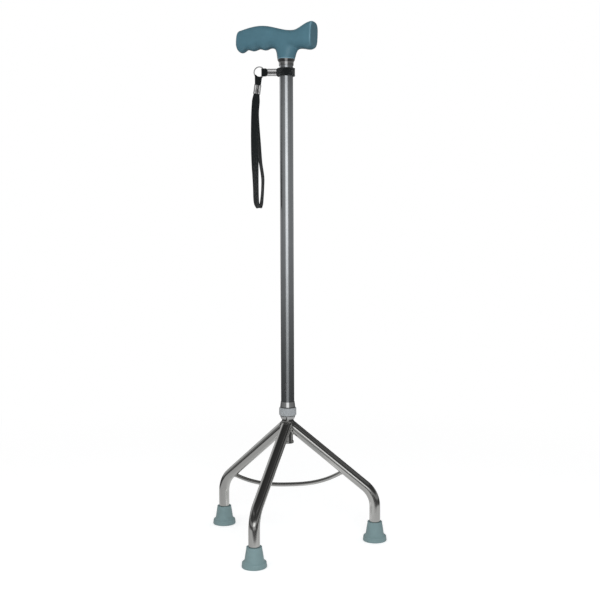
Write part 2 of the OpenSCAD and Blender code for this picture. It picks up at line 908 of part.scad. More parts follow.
// Flat band with eased edges, square to the route at one of its points
function band_ring(k) =
    let (
        along = unit(place(k + 1) - place(k - 1)),
        turn = route_curve[k][3],
        level = [cos(turn), sin(turn), 0],
        across = unit(level - along * (level * along)),
        through = cross(along, across),
        from_w = held_w - 2 * fit_gap,
        w = (from_w + (web_w - from_w) * min(max(route_curve[k][4], 0), 1)) / 2,
        t = web_t / 2,
        e = web_t / 4
    )
    [
        for (p = [[w, e - t], [w, t - e], [w - e, t], [e - w, t], [-w, t - e], [-w, e - t], [e - w, -t], [w - e, -t]])
            place(k) + p[0] * across + p[1] * through
    ];

module wrist_strap() {
    color([0.13, 0.14, 0.15])
    at_ring()
        skin([for (k = [0 : len(route_curve) - 1]) band_ring(k)]);
}

// Moves the shaft's axis back from the middle of the footprint
module stand() {
    translate([0, axis_y, 0])
        children();
}

stand() center_post();
stand() post_end_plug();
stand() post_guide_bush();
stand() leg_front();
stand() leg_left();
stand() leg_right();
stand() brace_rod();
stand() foot_front();
stand() foot_left();
stand() foot_right();
stand() foot_washer_front();
stand() foot_washer_left();
stand() foot_washer_right();
stand() shaft_tube();
stand() lock_ferrule();
stand() lock_collet();
stand() key_rivets();
stand() lock_nut();
stand() nut_cone();
stand() handle();
stand() handle_trim_ring();
stand() strap_collar();
stand() collar_crimp();
stand() d_ring();
stand() ring_tab();
stand() wrist_crimp();
stand() wrist_strap();
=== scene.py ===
# Looks of a walking cane on a three-legged base, with a moulded grip, a twist lock and a wrist strap.
from math import acos, asin, atan2, cos, degrees, pi, radians, sin, sqrt, tan

import bmesh
import bpy
import numpy as np
from mathutils import Matrix, Vector


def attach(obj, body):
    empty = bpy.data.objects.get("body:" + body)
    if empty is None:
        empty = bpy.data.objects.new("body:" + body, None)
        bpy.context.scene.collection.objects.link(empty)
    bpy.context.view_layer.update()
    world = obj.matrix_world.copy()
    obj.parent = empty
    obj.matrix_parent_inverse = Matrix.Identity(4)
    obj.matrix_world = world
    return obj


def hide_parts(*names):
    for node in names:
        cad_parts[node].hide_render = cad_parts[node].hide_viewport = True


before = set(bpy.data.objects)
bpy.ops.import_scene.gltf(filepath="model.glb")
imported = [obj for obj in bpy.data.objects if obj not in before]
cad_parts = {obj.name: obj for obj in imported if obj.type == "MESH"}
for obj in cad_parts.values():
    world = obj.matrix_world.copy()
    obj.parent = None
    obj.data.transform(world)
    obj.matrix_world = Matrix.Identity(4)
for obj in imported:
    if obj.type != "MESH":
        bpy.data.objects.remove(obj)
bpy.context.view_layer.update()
MM = 0.001
TAU = 2 * pi

# Sizes in millimetres, as in the part's source
OVERALL_H = 851
HEIGHT_TRAVEL = 100
SHAFT_R = 11
SHAFT_WALL = 1.2
POST_LEN = 242
POST_WALL = 1.2
LEG_R = 9
LEG_WALL = 1.5
LEG_REACH = 145
LEG_CORNER_H = 78.5
LEG_SLOPE = radians(39.5)
LEG_BEND_R = 45
LEG_SPREAD = radians(107.5)
BRACE_R = 3.5
BRACE_LEFT_IN = 22
BRACE_RIGHT_IN = 52
BRACE_SAG = 21
BRACE_FLATNESS = 2.6
FOOT_H = 32
FOOT_MOUTH_R = LEG_R + 3.25
FOOT_WAIST_R = LEG_R + 5.5
FOOT_BASE_R = LEG_R + 10.75
SOLE_EDGE_H = 8
SOLE_T = 6.5
WASHER_T = 1.5
NUT_R = SHAFT_R + 3.3
NUT_H = 13
NUT_RIBS = 36
CONE_H = 6
FERRULE_H = 9.5
RIVET_R = 1.3
HANDLE_H = 57
GRIP_BACK = 84.5
GRIP_NOSE = 48.5
GRIP_UNDER = 18
SADDLE_DROP = 11.5
NECK_R = SHAFT_R + 3.25
FINGER_PITCH = 21
FINGER_DEPTH = 2.4
WEB_W = 12.7
WEB_T = 1.6
RING_R = 8.8
WIRE_R = 0.8
RING_OUT = 43.4
CRIMP_LEN = 15
STRAP_TURN = radians(200)
RUN_GAP = 0.3
FIT_GAP = 0.05
POST_BELOW = 1
CONE_ABOVE = 2.8
FERRULE_ABOVE = 0.5
FERRULE_LAP = 3.5
RIVET_ABOVE = 20.5
RIVET_PITCH = 11.5
TRIM_H = 10
COLLAR_BELOW = 10.7
CRIMP_SQUEEZE = 2.7
CRIMP_BEYOND = 4.3
RING_CHORD = 5
WRIST_TILT = radians(8)
WRIST_DROP = 20

# Places that follow from them
POST_R = SHAFT_R - SHAFT_WALL - RUN_GAP
HUB_H = LEG_CORNER_H + LEG_REACH * tan(LEG_SLOPE)
FRONT_TURN = radians(270)
LEFT_TURN = FRONT_TURN - LEG_SPREAD
RIGHT_TURN = FRONT_TURN + LEG_SPREAD
BEND_TURN = pi / 2 - LEG_SLOPE
BEND_REACH = LEG_BEND_R * tan(BEND_TURN / 2)
SLOPE_LEN = LEG_REACH / cos(LEG_SLOPE) - BEND_REACH
LEG_END_H = SOLE_T + WASHER_T + FIT_GAP
ROOT_MID = HUB_H - POST_R * tan(LEG_SLOPE)
ROOT_HALF = LEG_R / cos(LEG_SLOPE)
POST_FOOT = ROOT_MID - ROOT_HALF - POST_BELOW
AXIS = np.array([0, LEG_REACH * (1 - sin(RIGHT_TURN)) / 2, 0])
CONE_Z = ROOT_MID + ROOT_HALF + CONE_ABOVE
NUT_Z = CONE_Z + CONE_H
FERRULE_Z = NUT_Z + NUT_H + FERRULE_ABOVE
SHAFT_Z = FERRULE_Z - FERRULE_LAP
RIVET_LOW_Z = FERRULE_Z + FERRULE_H + RIVET_ABOVE
HANDLE_Z = OVERALL_H - HANDLE_H
TRIM_Z = HANDLE_Z - TRIM_H
COLLAR_Z = TRIM_Z - COLLAR_BELOW
HELD_W = WEB_W - CRIMP_SQUEEZE
BAR_OUT = RING_OUT - RING_CHORD
CRIMP_OUT = SHAFT_R + RUN_GAP + CRIMP_BEYOND

UP = np.array([0.0, 0.0, 1.0])
FINE = 96


def polar(turn):
    """Level direction at a turn from +X."""
    return np.array([cos(turn), sin(turn), 0.0])


def unit(vectors):
    """Vectors of length 1, along the last axis."""
    vectors = np.asarray(vectors, float)
    return vectors / np.linalg.norm(vectors, axis=-1, keepdims=True)


def grid_faces(rows, columns, wrap_rows, wrap_columns):
    """Quads over rows of points, closed round in either direction."""
    faces = []
    for i in range(rows if wrap_rows else rows - 1):
        for j in range(columns if wrap_columns else columns - 1):
            right = (j + 1) % columns
            below = (i + 1) % rows * columns
            faces.append((i * columns + j, i * columns + right, below + right, below + j))
    return faces


def full_turn(sides):
    """Even turns around a whole circle."""
    return np.arange(sides) * TAU / sides


def grid_uvs(along, around):
    """Corner coordinates for grid_faces, from the places of its rows and columns."""
    uvs = []
    for near, far in zip(along, along[1:]):
        for low, high in zip(around, around[1:]):
            uvs += [(near, low), (near, high), (far, high), (far, low)]
    return uvs


def end_caps(rows, sides):
    """Flat faces over the first and last of some rings."""
    last = (rows - 1) * sides
    return [tuple(range(sides)), tuple(range(last, last + sides))]


def add_object(name, data):
    """New object in the scene."""
    obj = bpy.data.objects.new(name, data)
    bpy.context.collection.objects.link(obj)
    return obj


def piece(name, points, faces, body, slot, node=None, uvs=None):
    """Smooth mesh in its slot's finish, from points in millimetres about the shaft."""
    mesh = bpy.data.meshes.new(name)
    mesh.from_pydata(((np.asarray(points, float).reshape(-1, 3) + AXIS) * MM).tolist(), [], faces)
    if uvs is not None:
        mesh.uv_layers.new(name="weave").data.foreach_set("uv", np.asarray(uvs, np.float32).ravel())
    edit = bmesh.new()
    edit.from_mesh(mesh)
    bmesh.ops.recalc_face_normals(edit, faces=edit.faces)
    edit.to_mesh(mesh)
    edit.free()
    mesh.polygons.foreach_set("use_smooth", [True] * len(mesh.polygons))
    mesh.materials.append(LOOKS[slot])
    obj = add_object(name, mesh)
    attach(obj, body)
    if node:
        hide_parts(node)
    return obj


def bake(obj):
    """Turns a piece's modifiers into mesh."""
    seen = obj.evaluated_get(bpy.context.evaluated_depsgraph_get())
    plain = bpy.data.meshes.new_from_object(seen)
    obj.modifiers.clear()
    obj.data = plain
    obj.data.polygons.foreach_set("use_smooth", [True] * len(plain.polygons))


def join(parts):
    """Points and faces of several shells as one."""
    points = []
    faces = []
    for shell_points, shell_faces in parts:
        start = sum(len(p) for p in points)
        points.append(np.asarray(shell_points, float).reshape(-1, 3))
        faces += [tuple(i + start for i in face) for face in shell_faces]
    return np.concatenate(points), faces


def eased(corners, steps=5, lead=0.2, most=0.4):
    """Closed outline through corners (x, y, rounding), with short straight leads by each."""
    outline = []
    for k, (x, y, rounding) in enumerate(corners):
        here = np.array([x, y], float)
        if rounding == 0:
            outline.append(here)
            continue
        before = np.array(corners[k - 1][:2]) - here
        after = np.array(corners[(k + 1) % len(corners)][:2]) - here
        reach = min(rounding, most * np.linalg.norm(before), most * np.linalg.norm(after))
        start = here + unit(before) * reach
        end = here + unit(after) * reach
        outline.append(start + unit(before) * reach * lead)
        for t in np.linspace(0, 1, steps + 1):
            outline.append((1 - t) ** 2 * start + 2 * t * (1 - t) * here + t * t * end)
        outline.append(end + unit(after) * reach * lead)
    return np.array(outline)


def revolve(outline, sides):
    """Closed outline of (radius, height) turned about the axis."""
    out, up = outline.T
    rows = [np.column_stack([out * cos(a), out * sin(a), up]) for a in full_turn(sides)]
    return np.array(rows), grid_faces(sides, len(outline), True, True)


def revolve_solid(outline, sides):
    """Outline of (radius, height) that starts and ends on the axis, turned about it."""
    rows = revolve(outline[1:-1], sides)[0]
    count = len(outline) - 2
    faces = grid_faces(sides, count, True, False)
    poles = [[0, 0, outline[0][1]], [0, 0, outline[-1][1]]]
    first = sides * count
    for i in range(sides):
        here = i * count
        there = (i + 1) % sides * count
        faces.append((first, here, there))
        faces.append((first + 1, there + count - 1, here + count - 1))
    return np.concatenate([rows.reshape(-1, 3), poles]), faces


def sweep(path, across, outline, half_w, half_t, closed):
    """Skin along a path, from an outline in shares of its half width and thickness; capped if open."""
    path = np.asarray(path, float)
    along = unit(np.roll(path, -1, 0) - np.roll(path, 1, 0) if closed else np.gradient(path, axis=0))
    across = np.broadcast_to(across, path.shape)
    across = unit(across - along * np.sum(across * along, axis=1, keepdims=True))
    through = np.cross(along, across)
    flat = outline[None, :, :1] * np.broadcast_to(half_w, len(path)).reshape(-1, 1, 1)
    thick = outline[None, :, 1:] * np.broadcast_to(half_t, len(path)).reshape(-1, 1, 1)
    rings = path[:, None] + flat * across[:, None] + thick * through[:, None]
    faces = grid_faces(len(path), len(outline), closed, True)
    if not closed:
        faces += end_caps(len(path), len(outline))
    return rings, faces


def tube(path, radius, reference, sides, closed=False):
    """Round tube along a path, with its section turned by a reference direction."""
    a = full_turn(sides)
    return sweep(path, reference, np.column_stack([np.cos(a), np.sin(a)]), radius, radius, closed)


def lengths(path, closed=False):
    """Distance along a path at each point, with the closing one added on a loop."""
    if closed:
        path = np.concatenate([path, path[:1]])
    return np.concatenate([[0], np.cumsum(np.linalg.norm(np.diff(path, axis=0), axis=1))])


def resample(path, count, closed=False):
    """Points at even distances along a path."""
    if closed:
        path = np.concatenate([path, path[:1]])
    run = lengths(path)
    places = np.linspace(0, run[-1], count, endpoint=not closed)
    return np.column_stack([np.interp(places, run, line) for line in path.T])


def relax(path, passes, closed=False):
    """Path with its corners rounded."""
    path = np.array(path, float)
    for _ in range(passes):
        mean = (np.roll(path, 1, 0) + 2 * path + np.roll(path, -1, 0)) / 4
        if not closed:
            mean[[0, -1]] = path[[0, -1]]
        path = mean
    return path


def smooth_step(x, low, high):
    """Smooth rise from 0 at low to 1 at high."""
    t = np.clip((x - low) / (high - low), 0, 1)
    return t * t * (3 - 2 * t)


# Camera, which looks a little down at the cane
CAMERA_OUT = 1620
CAMERA_H = 526
VIEW_TURN = radians(111.3)
VIEW_ASIDE = radians(0.7456)
VIEW_PITCH = 0.076
VIEW_ROLL = -0.0035
VIEW_LENS = 59.016
LENS_SENSOR = 36
CAMERA_CLIP = 200


def add_camera():
    """Camera at the photograph's place and angle."""
    level = Vector(polar(VIEW_TURN - VIEW_ASIDE))
    ahead = level * cos(VIEW_PITCH) - Vector(UP) * sin(VIEW_PITCH)
    right = level.cross(Vector(UP))
    above = right.cross(ahead)
    stand = Vector((AXIS - polar(VIEW_TURN) * CAMERA_OUT + UP * CAMERA_H) * MM)
    turn = Matrix((right, above, -ahead)).transposed() @ Matrix.Rotation(VIEW_ROLL, 3, "Z")
    data = bpy.data.cameras.new("camera")
    data.lens = VIEW_LENS
    data.sensor_width = LENS_SENSOR
    data.clip_end = CAMERA_CLIP
    camera = add_object("camera", data)
    camera.matrix_world = Matrix.Translation(stand) @ turn.to_4x4()
    bpy.context.scene.camera = camera


add_camera()


# Range that most of a noise's values lie in
NOISE_SPAN = (0.3, 0.7)


class Nodes:
    """Shader nodes of a material or a world, begun afresh."""

    def __init__(self, owner):
        owner.use_nodes = True
        self.tree = owner.node_tree
        self.tree.nodes.clear()
        self.link = self.tree.links.new

    def node(self, kind, **values):
        """New node; capitalised words are sockets and the rest are settings."""
        made = self.tree.nodes.new("ShaderNode" + kind)
        for key, value in values.items():
            if key[0].isupper():
                made.inputs[key.replace("_", " ")].default_value = value
            else:
                setattr(made, key, value)
        return made

    def feed(self, kind, *outputs, **values):
        """New node with outputs joined to its inputs in turn."""
        made = self.node(kind, **values)
        for output, target in zip(outputs, made.inputs):
            self.link(output, target)
        return made

    def seen_rays(self):
        """1 for rays from the camera, from reflections and through glass."""
        rays = self.node("LightPath").outputs
        first = self.feed("Math", rays["Is Camera Ray"], rays["Is Glossy Ray"], operation="MAXIMUM")
        second = self.feed("Math", first.outputs[0], rays["Is Transmission Ray"], operation="MAXIMUM")
        return second.outputs[0]


class Look(Nodes):
    """Material with a Principled shader and short calls for its finish."""

    def __init__(self, name, **sockets):
        self.material = bpy.data.materials.new(name)
        super().__init__(self.material)
        self.shader = self.node("BsdfPrincipled", **sockets)
        self.feed("OutputMaterial", self.shader.outputs[0])
        self.place = self.node("TexCoord")

    def noise(self, waves, detail, rough=0.5):
        """Noise over the piece, with a number of waves per metre."""
        place = self.place.outputs["Object"]
        return self.feed("TexNoise", place, Scale=waves, Detail=detail, Roughness=rough).outputs["Fac"]

    def spread(self, value, low, high, target, span=NOISE_SPAN):
        """A value's span spread over a range and joined to an input."""
        made = self.feed("MapRange", value, From_Min=span[0], From_Max=span[1], To_Min=low, To_Max=high)
        self.link(made.outputs["Result"], target)

    def tones(self, value, low, high):
        """Base colour between two tones, by a value."""
        made = self.feed("ValToRGB", value)
        first, last = made.color_ramp.elements
        first.position, last.position = NOISE_SPAN
        first.color, last.color = (*low, 1), (*high, 1)
        self.link(made.outputs["Color"], self.shader.inputs["Base Color"])
        return made

    def bump(self, value, depth, strength=1.0, below=None):
        """Relief of a depth in metres, on top of another bump if there is one."""
        made = self.node("Bump", Strength=strength, Distance=depth)
        self.link(value, made.inputs["Height"])
        if below is not None:
            self.link(below.outputs["Normal"], made.inputs["Normal"])
        self.link(made.outputs["Normal"], self.shader.inputs["Normal"])
        return made


# Waves per metre: a metal's clouding, scuffs and waviness, and a plastic's clouding, skin and waviness
METAL_WAVES = (45, 260, 120)
PLASTIC_WAVES = (60, 400, 90)
METAL_SHADE = 0.94
PLASTIC_SHADES = (0.93, 1.05)
SKIN_SPREAD = 0.12
WAVINESS = 0.8
# Pointiness at which sharp edges begin to get the painted highlight, and at which it is brightest
EDGE_HIGHLIGHT_SPAN = (0.512, 0.528)
# Sockets of a Mix node that take and give colours
MIX_FIRST = 6
MIX_SECOND = 7
MIX_RESULT = 2
THREAD_DEPTH = 0.00022
FUZZ_DEPTH = 0.00003
FUZZ_WAVES = 6000


def metal_look(name, colour, rough, rough_spread, peel, metallic=1.0):
    """Plated or polished metal: faint clouding, fine scuffs and a slight waviness."""
    look = Look(name, Metallic=metallic)
    clouds, scuffs, waves = METAL_WAVES
    look.tones(look.noise(clouds, 4), np.multiply(colour, METAL_SHADE), colour)
    look.spread(look.noise(scuffs, 5, 0.6), rough, rough + rough_spread, look.shader.inputs["Roughness"])
    look.bump(look.noise(waves, 2), peel)
    return look.material


def plastic_look(name, colour, rough, grain, grain_waves, edge_highlight_colour=None):
    """Moulded plastic or rubber: grain, clouding, uneven gloss and, on some, a painted highlight along sharp
    edges.
    """
    look = Look(name)
    clouds, skin, waves = PLASTIC_WAVES
    dark, pale = np.outer(PLASTIC_SHADES, colour)
    body = look.tones(look.noise(clouds, 5, 0.6), dark, pale)
    # Sharp edges get a paler colour by their pointiness: a painted highlight
    if edge_highlight_colour:
        painted_edge_highlight = look.node("Mix", data_type="RGBA")
        look.link(body.outputs["Color"], painted_edge_highlight.inputs[MIX_FIRST])
        painted_edge_highlight.inputs[MIX_SECOND].default_value = (*edge_highlight_colour, 1)
        look.link(painted_edge_highlight.outputs[MIX_RESULT], look.shader.inputs["Base Color"])
        edges = look.node("NewGeometry")
        look.spread(edges.outputs["Pointiness"], 0, 1, painted_edge_highlight.inputs["Factor"], EDGE_HIGHLIGHT_SPAN)
    look.spread(look.noise(skin, 4), rough, rough + SKIN_SPREAD, look.shader.inputs["Roughness"])
    broad = look.bump(look.noise(waves, 2), grain * WAVINESS, 0.5)
    look.bump(look.noise(grain_waves, 3, 0.6), grain, 0.6, broad)
    return look.material


def webbing_look():
    """Black woven webbing: staggered threads along the band, with a soft sheen."""
    look = Look("webbing", Roughness=0.82, Sheen_Weight=0.25, Sheen_Roughness=0.4, Specular_IOR_Level=0.3)
    weave = look.feed(
        "TexBrick", look.place.outputs["UV"], offset=0.5, Scale=1.0, Brick_Width=1.9, Row_Height=0.85,
        Mortar_Size=0.16, Mortar_Smooth=1.0, Mortar=(0.003, 0.004, 0.0042, 1),
        Color1=(0.0085, 0.0115, 0.012, 1), Color2=(0.0062, 0.0085, 0.009, 1),
    )
    look.link(weave.outputs["Color"], look.shader.inputs["Base Color"])
    threads = look.bump(weave.outputs["Fac"], THREAD_DEPTH)
    threads.invert = True
    look.bump(look.noise(FUZZ_WAVES, 2), FUZZ_DEPTH, 0.5, threads)
    return look.material


# Metals: colour, roughness and its spread, waviness in metres, and share of metal if not whole
METALS = {
    "leg_chrome": ((0.60, 0.60, 0.585), 0.12, 0.05, 0.00003),
    "bright_chrome": ((0.55, 0.555, 0.555), 0.06, 0.06, 0.00001),
    "shaft_metal": ((0.585, 0.612, 0.632), 0.15, 0.04, 0.000004),
    "nut_metal": ((0.53, 0.548, 0.56), 0.46, 0.10, 0.00002, 0.35),
    "crimp_metal": ((0.56, 0.56, 0.56), 0.20, 0.08, 0.00001),
    "rivet_metal": ((0.24, 0.24, 0.25), 0.28, 0.10, 0.00001),
    "washer_steel": ((0.50, 0.50, 0.50), 0.30, 0.15, 0.00003),
}
# Plastics: colour, roughness, depth and waves per metre of the grain, and colour of the painted highlight on
# sharp edges
PLASTICS = {
    "handle_plastic": ((0.076, 0.178, 0.226), 0.28, 0.00004, 2600, (0.22, 0.38, 0.46)),
    "foot_rubber": ((0.215, 0.315, 0.325), 0.42, 0.00005, 1800),
    "nylon": ((0.72, 0.71, 0.67), 0.40, 0.00004, 2000),
}
LOOKS = {"webbing": webbing_look()}
LOOKS.update({slot: metal_look(slot, *finish) for slot, finish in METALS.items()})
LOOKS.update({slot: plastic_look(slot, *finish) for slot, finish in PLASTICS.items()})


# Wrist strap: the route from the ring's centre (outward, sideways, up, turn of the width in degrees, spread)
WRIST_ROUTE = [
    [3.8, 1.2, -27, 0, 0], [5, 1.2, -35, 0, 0], [6.2, 3.2, -47, -3, 1], [7.4, 5, -66, -8, 1],
    [8.1, 6, -92, -12, 1], [8.2, 7, -118, -15, 1], [7.9, 7, -145, -24, 1], [7.3, 6.4, -169, -38, 1],
    [6.9, 6, -187, -44, 1], [6.6, 5.2, -203, -45, 1], [5.6, 3.6, -213.5, -49, 1], [2.2, -0.6, -218.6, -56, 1],
    [-0.9, -4.6, -213.5, -63, 1], [-2.5, -6.4, -203, -68, 1], [-3.6, -7.2, -187, -70, 1],
    [-3.8, -8, -169, -68, 1],
    [-0.4, -9, -145, -66, 1], [3, -9, -118, -48, 1], [6.2, -8, -92, -26, 1], [7.8, -6, -66, -10, 1],
    [6.3, -3.2, -47, -3, 1], [5, -1.2, -35, 0, 0], [3.8, -1.2, -27, 0, 0],
]
ROUTE_STEPS = 10


def along_strap(points, out=0.0, tilt=0.0):
    """Points of the strap (outward, sideways, up), tilted, moved out and put in the part."""
    points = np.asarray(points, float).reshape(-1, 3)
    x = points[:, 0] * cos(tilt) - points[:, 2] * sin(tilt) + out
    z = points[:, 0] * sin(tilt) + points[:, 2] * cos(tilt) + COLLAR_Z
    ahead = polar(STRAP_TURN)
    aside = polar(STRAP_TURN + pi / 2)
    return x[:, None] * ahead + points[:, 1:2] * aside + z[:, None] * UP


def curve_through(points, steps):
    """Smooth curve through points, in steps from each to the next."""
    points = np.asarray(points, float)
    last = len(points) - 1
    curve = []
    for k in range(last):
        a, b, c, d = (points[min(max(i, 0), last)] for i in (k - 1, k, k + 1, k + 2))
        for t in np.arange(steps) / steps:
            curve.append(b + t / 2 * (c - a + t * (2 * a - 5 * b + 4 * c - d + t * (3 * (b - c) + d - a))))
    return np.array(curve + [points[last]])


# Webbing across its length, in shares of half its width and thickness; its second half mirrors the first
WEB_HALF = np.array([
    [0.93, -1.0], [0.985, -0.72], [1.0, 0.0], [0.985, 0.72], [0.93, 1.0], [0.80, 1.0], [0.68, 0.86],
    [0.35, 0.84], [0.0, 0.84], [-0.35, 0.84], [-0.68, 0.86], [-0.80, 1.0],
])
WEB_OUTLINE = np.concatenate([WEB_HALF, -WEB_HALF])


def band(path, across, half_w, half_t, closed=False):
    """Band of webbing along a path, with its thread coordinates in millimetres."""
    rings, faces = sweep(path, across, WEB_OUTLINE, half_w, half_t, closed)
    edge = WEB_OUTLINE * [WEB_W / 2, WEB_T / 2]
    uvs = grid_uvs(lengths(path, closed), lengths(edge, True))
    if not closed:
        uvs += [(0.0, 0.0)] * (2 * len(WEB_OUTLINE))
    return rings, faces, uvs


def add_wrist_strap():
    """Loop of webbing that hangs from the wrist crimp."""
    route = curve_through(WRIST_ROUTE, ROUTE_STEPS)
    path = route[:, :3]
    turn = np.radians(route[:, 3])
    level = np.column_stack([np.cos(turn), np.sin(turn), np.zeros(len(turn))])
    held = HELD_W - 2 * FIT_GAP
    half_w = (held + (WEB_W - held) * np.clip(route[:, 4], 0, 1)) / 2
    rings, faces, uvs = band(path, level, half_w, WEB_T / 2)
    strap = piece("wrist_loop", along_strap(rings, RING_OUT), faces, "wrist", "webbing", "wrist_strap", uvs)


add_wrist_strap()


# Base: each leg's turn, and half its angles to the legs on its right and on its left
LEGS = {
    "front": (FRONT_TURN, LEG_SPREAD / 2, LEG_SPREAD / 2),
    "left": (LEFT_TURN, pi - LEG_SPREAD, LEG_SPREAD / 2),
    "right": (RIGHT_TURN, LEG_SPREAD / 2, pi - LEG_SPREAD),
}
LEG_SIDES = 72
SLOPE_RINGS = 24
BEND_RINGS = 25
END_RINGS = 12
WELD_R = 0.9
WELD_RIPPLE = 0.10
WELD_WAVES = 18
WELD_SIDES = 12
BRACE_STEPS = 400
BRACE_SIDES = 32
BRACE_SUNK = 1.2
BRACE_WELD_R = 0.8
BRACE_WELD_SIDES = 10


def leg_frame(turn):
    """Directions of a leg: down its slope, square to that on top, and to its side."""
    out = polar(turn)
    down = out * cos(LEG_SLOPE) - UP * sin(LEG_SLOPE)
    over = out * sin(LEG_SLOPE) + UP * cos(LEG_SLOPE)
    return down, over, polar(turn + pi / 2)


def leg_root(radius, half_right, half_left):
    """Where each line of a leg begins on the slope, clear of the post and of the other legs."""
    a = full_turn(LEG_SIDES)
    out = radius * np.cos(a) * sin(LEG_SLOPE)
    aside = radius * np.sin(a)
    run = cos(LEG_SLOPE)
    starts = [(np.sqrt((POST_R + FIT_GAP) ** 2 - aside**2) - out) / run]
    for half, side in ((half_left, aside), (half_right, -aside)):
        starts.append((FIT_GAP / 2 - out * sin(half) + side * cos(half)) / (sin(half) * run))
    return np.max(starts, axis=0)


def leg_rings(turn, half_right, half_left, radius):
    """Rings of a leg's outer or inner surface from its root to its lower end."""
    down, over, side = leg_frame(turn)
    a = full_turn(LEG_SIDES)
    c, s = np.cos(a)[:, None], np.sin(a)[:, None]
    start = UP * HUB_H
    root = leg_root(radius, half_right, half_left)[:, None]
    rings = []
    for share in np.linspace(0, 1, SLOPE_RINGS):
        rings.append(start + radius * (c * over + s * side) + down * (root + (SLOPE_LEN - root) * share))
    centre = start + down * SLOPE_LEN - over * LEG_BEND_R
    for turned in np.linspace(0, BEND_TURN, BEND_RINGS)[1:]:
        lean = over * cos(turned) + down * sin(turned)
        rings.append(centre + lean * LEG_BEND_R + radius * (c * lean + s * side))
    foot = polar(turn) * LEG_REACH
    top = LEG_CORNER_H - BEND_REACH
    for height in np.linspace(top, LEG_END_H, END_RINGS)[1:]:
        rings.append(foot + UP * height + radius * (c * polar(turn) + s * side))
    return np.array(rings)


def add_legs():
    """Bent tubes fitted to the post, with a bead of weld around each root."""
    for name, place in LEGS.items():
        outer = leg_rings(*place, LEG_R)
        inner = leg_rings(*place, LEG_R - LEG_WALL)
        rows = np.concatenate([outer, inner[::-1]])
        faces = grid_faces(len(rows), LEG_SIDES, True, True)
        piece(f"leg_tube_{name}", rows, faces, "base", "leg_chrome", f"leg_{name}")
        seam = outer[0]
        waves = np.sin(np.arange(len(seam)) * TAU * WELD_WAVES / len(seam))
        ripple = WELD_R * (1 + WELD_RIPPLE * waves)
        bead = tube(seam, ripple, seam - seam.mean(axis=0), WELD_SIDES, closed=True)
        piece(f"leg_weld_{name}", *bead, "base", "leg_chrome")


def leg_gap(points, turn):
    """Distance of points from a leg's sloping centre line."""
    down = leg_frame(turn)[0]
    away = points - UP * HUB_H
    return np.linalg.norm(away - (away @ down)[..., None] * down, axis=-1)


def add_brace():
    """Rod that sags between the two rear legs, with a bead of weld at each end."""
    seat = UP * -LEG_R / 2
    ends = []
    for turn, inside in ((LEFT_TURN, BRACE_LEFT_IN), (RIGHT_TURN, BRACE_RIGHT_IN)):
        out = LEG_REACH - inside
        ends.append(polar(turn) * out + UP * (HUB_H - out * tan(LEG_SLOPE)) + seat)
    chord = ends[1] - ends[0]
    span = np.linalg.norm(chord)
    along = chord / span
    above = unit(UP - along * along[2])
    u = np.linspace(-1, 1, BRACE_STEPS)[:, None]
    fall = BRACE_SAG * (1 - np.abs(u) ** BRACE_FLATNESS)
    path = (ends[0] + ends[1]) / 2 + along * u * span / 2 - above * fall
    sunk = LEG_R - BRACE_SUNK
    clear = (leg_gap(path, LEFT_TURN) > sunk) & (leg_gap(path, RIGHT_TURN) > sunk)
    lines, faces = tube(path[clear], BRACE_R, np.cross(along, above), BRACE_SIDES)
    piece("brace_arc", lines, faces, "base", "leg_chrome", "brace_rod")
    for name, turn, order in (("left", LEFT_TURN, 1), ("right", RIGHT_TURN, -1)):
        rows = lines[::order]
        first = np.argmax(leg_gap(rows, turn) > LEG_R, axis=0)
        seam = rows[first, np.arange(rows.shape[1])]
        inward = seam - seam.mean(axis=0)
        bead = tube(relax(seam, 2, True), BRACE_WELD_R, inward, BRACE_WELD_SIDES, closed=True)
        piece(f"brace_weld_{name}", *bead, "base", "leg_chrome")


# Post and plug, with heights above the post's foot
POST_SIDES = 64
POST_CREASE = radians(50)
PLUG_LIP = 0.25
PLUG_NECK_IN = 1
PLUG_LOW = -14
PLUG_LIP_TOP = -10
PLUG_TOP = 12


def add_post():
    """Centre post with its key slot, and the plug in its lower end."""
    slot_half = asin((RIVET_R + RUN_GAP) / POST_R)
    slot_low = RIVET_LOW_Z - RIVET_R - RUN_GAP
    slot_high = RIVET_LOW_Z + RIVET_PITCH + HEIGHT_TRAVEL + RIVET_R + RUN_GAP
    around = np.linspace(FRONT_TURN + slot_half, FRONT_TURN + TAU - slot_half, POST_SIDES)
    levels = (POST_FOOT, slot_low, slot_high, POST_FOOT + POST_LEN)
    heights = [z + step for z in levels for step in (-1, 0, 1)][1:-1]
    rows = np.array([[polar(a) * POST_R + UP * z for a in around] for z in heights])
    faces = grid_faces(len(heights), POST_SIDES, False, True)
    slot_first = (heights.index(slot_low) + 1) * POST_SIDES - 1
    del faces[slot_first:heights.index(slot_high) * POST_SIDES:POST_SIDES]
    post = piece("post_tube", rows, faces, "base", "leg_chrome", "center_post")
    wall = post.modifiers.new("wall", "SOLIDIFY")
    wall.thickness = POST_WALL * MM
    wall.offset = -1
    bake(post)
    post.data.set_sharp_from_angle(angle=POST_CREASE)
    bore = POST_R - POST_WALL - FIT_GAP
    lip = POST_R + PLUG_LIP
    neck = POST_R - PLUG_NECK_IN
    plug = eased([
        (0, PLUG_LOW, 0), (lip, PLUG_LOW, 1.0), (lip, PLUG_LIP_TOP, 0.6), (neck, PLUG_LIP_TOP, 0.4),
        (neck, 0, 0.3), (bore, 0, 0), (bore, PLUG_TOP, 1), (0, PLUG_TOP, 0),
    ]) + [0, POST_FOOT]
    piece("post_plug", *revolve_solid(plug, POST_SIDES), "base", "leg_chrome", "post_end_plug")


# Feet: grooves in the sole as shares of its radius, their section, and steps of the flare in degrees
SOLE_GROOVES = (0.4, 0.7)
SOLE_GROOVE = ((-1, 0), (-0.8, 1.2), (0.8, 1.2), (1, 0))
SOLE_TAPER = 0.8
MOUTH_H = 2
FLARE_STEPS = (18, 36, 54, 72)
FOOT_SIDES = 80


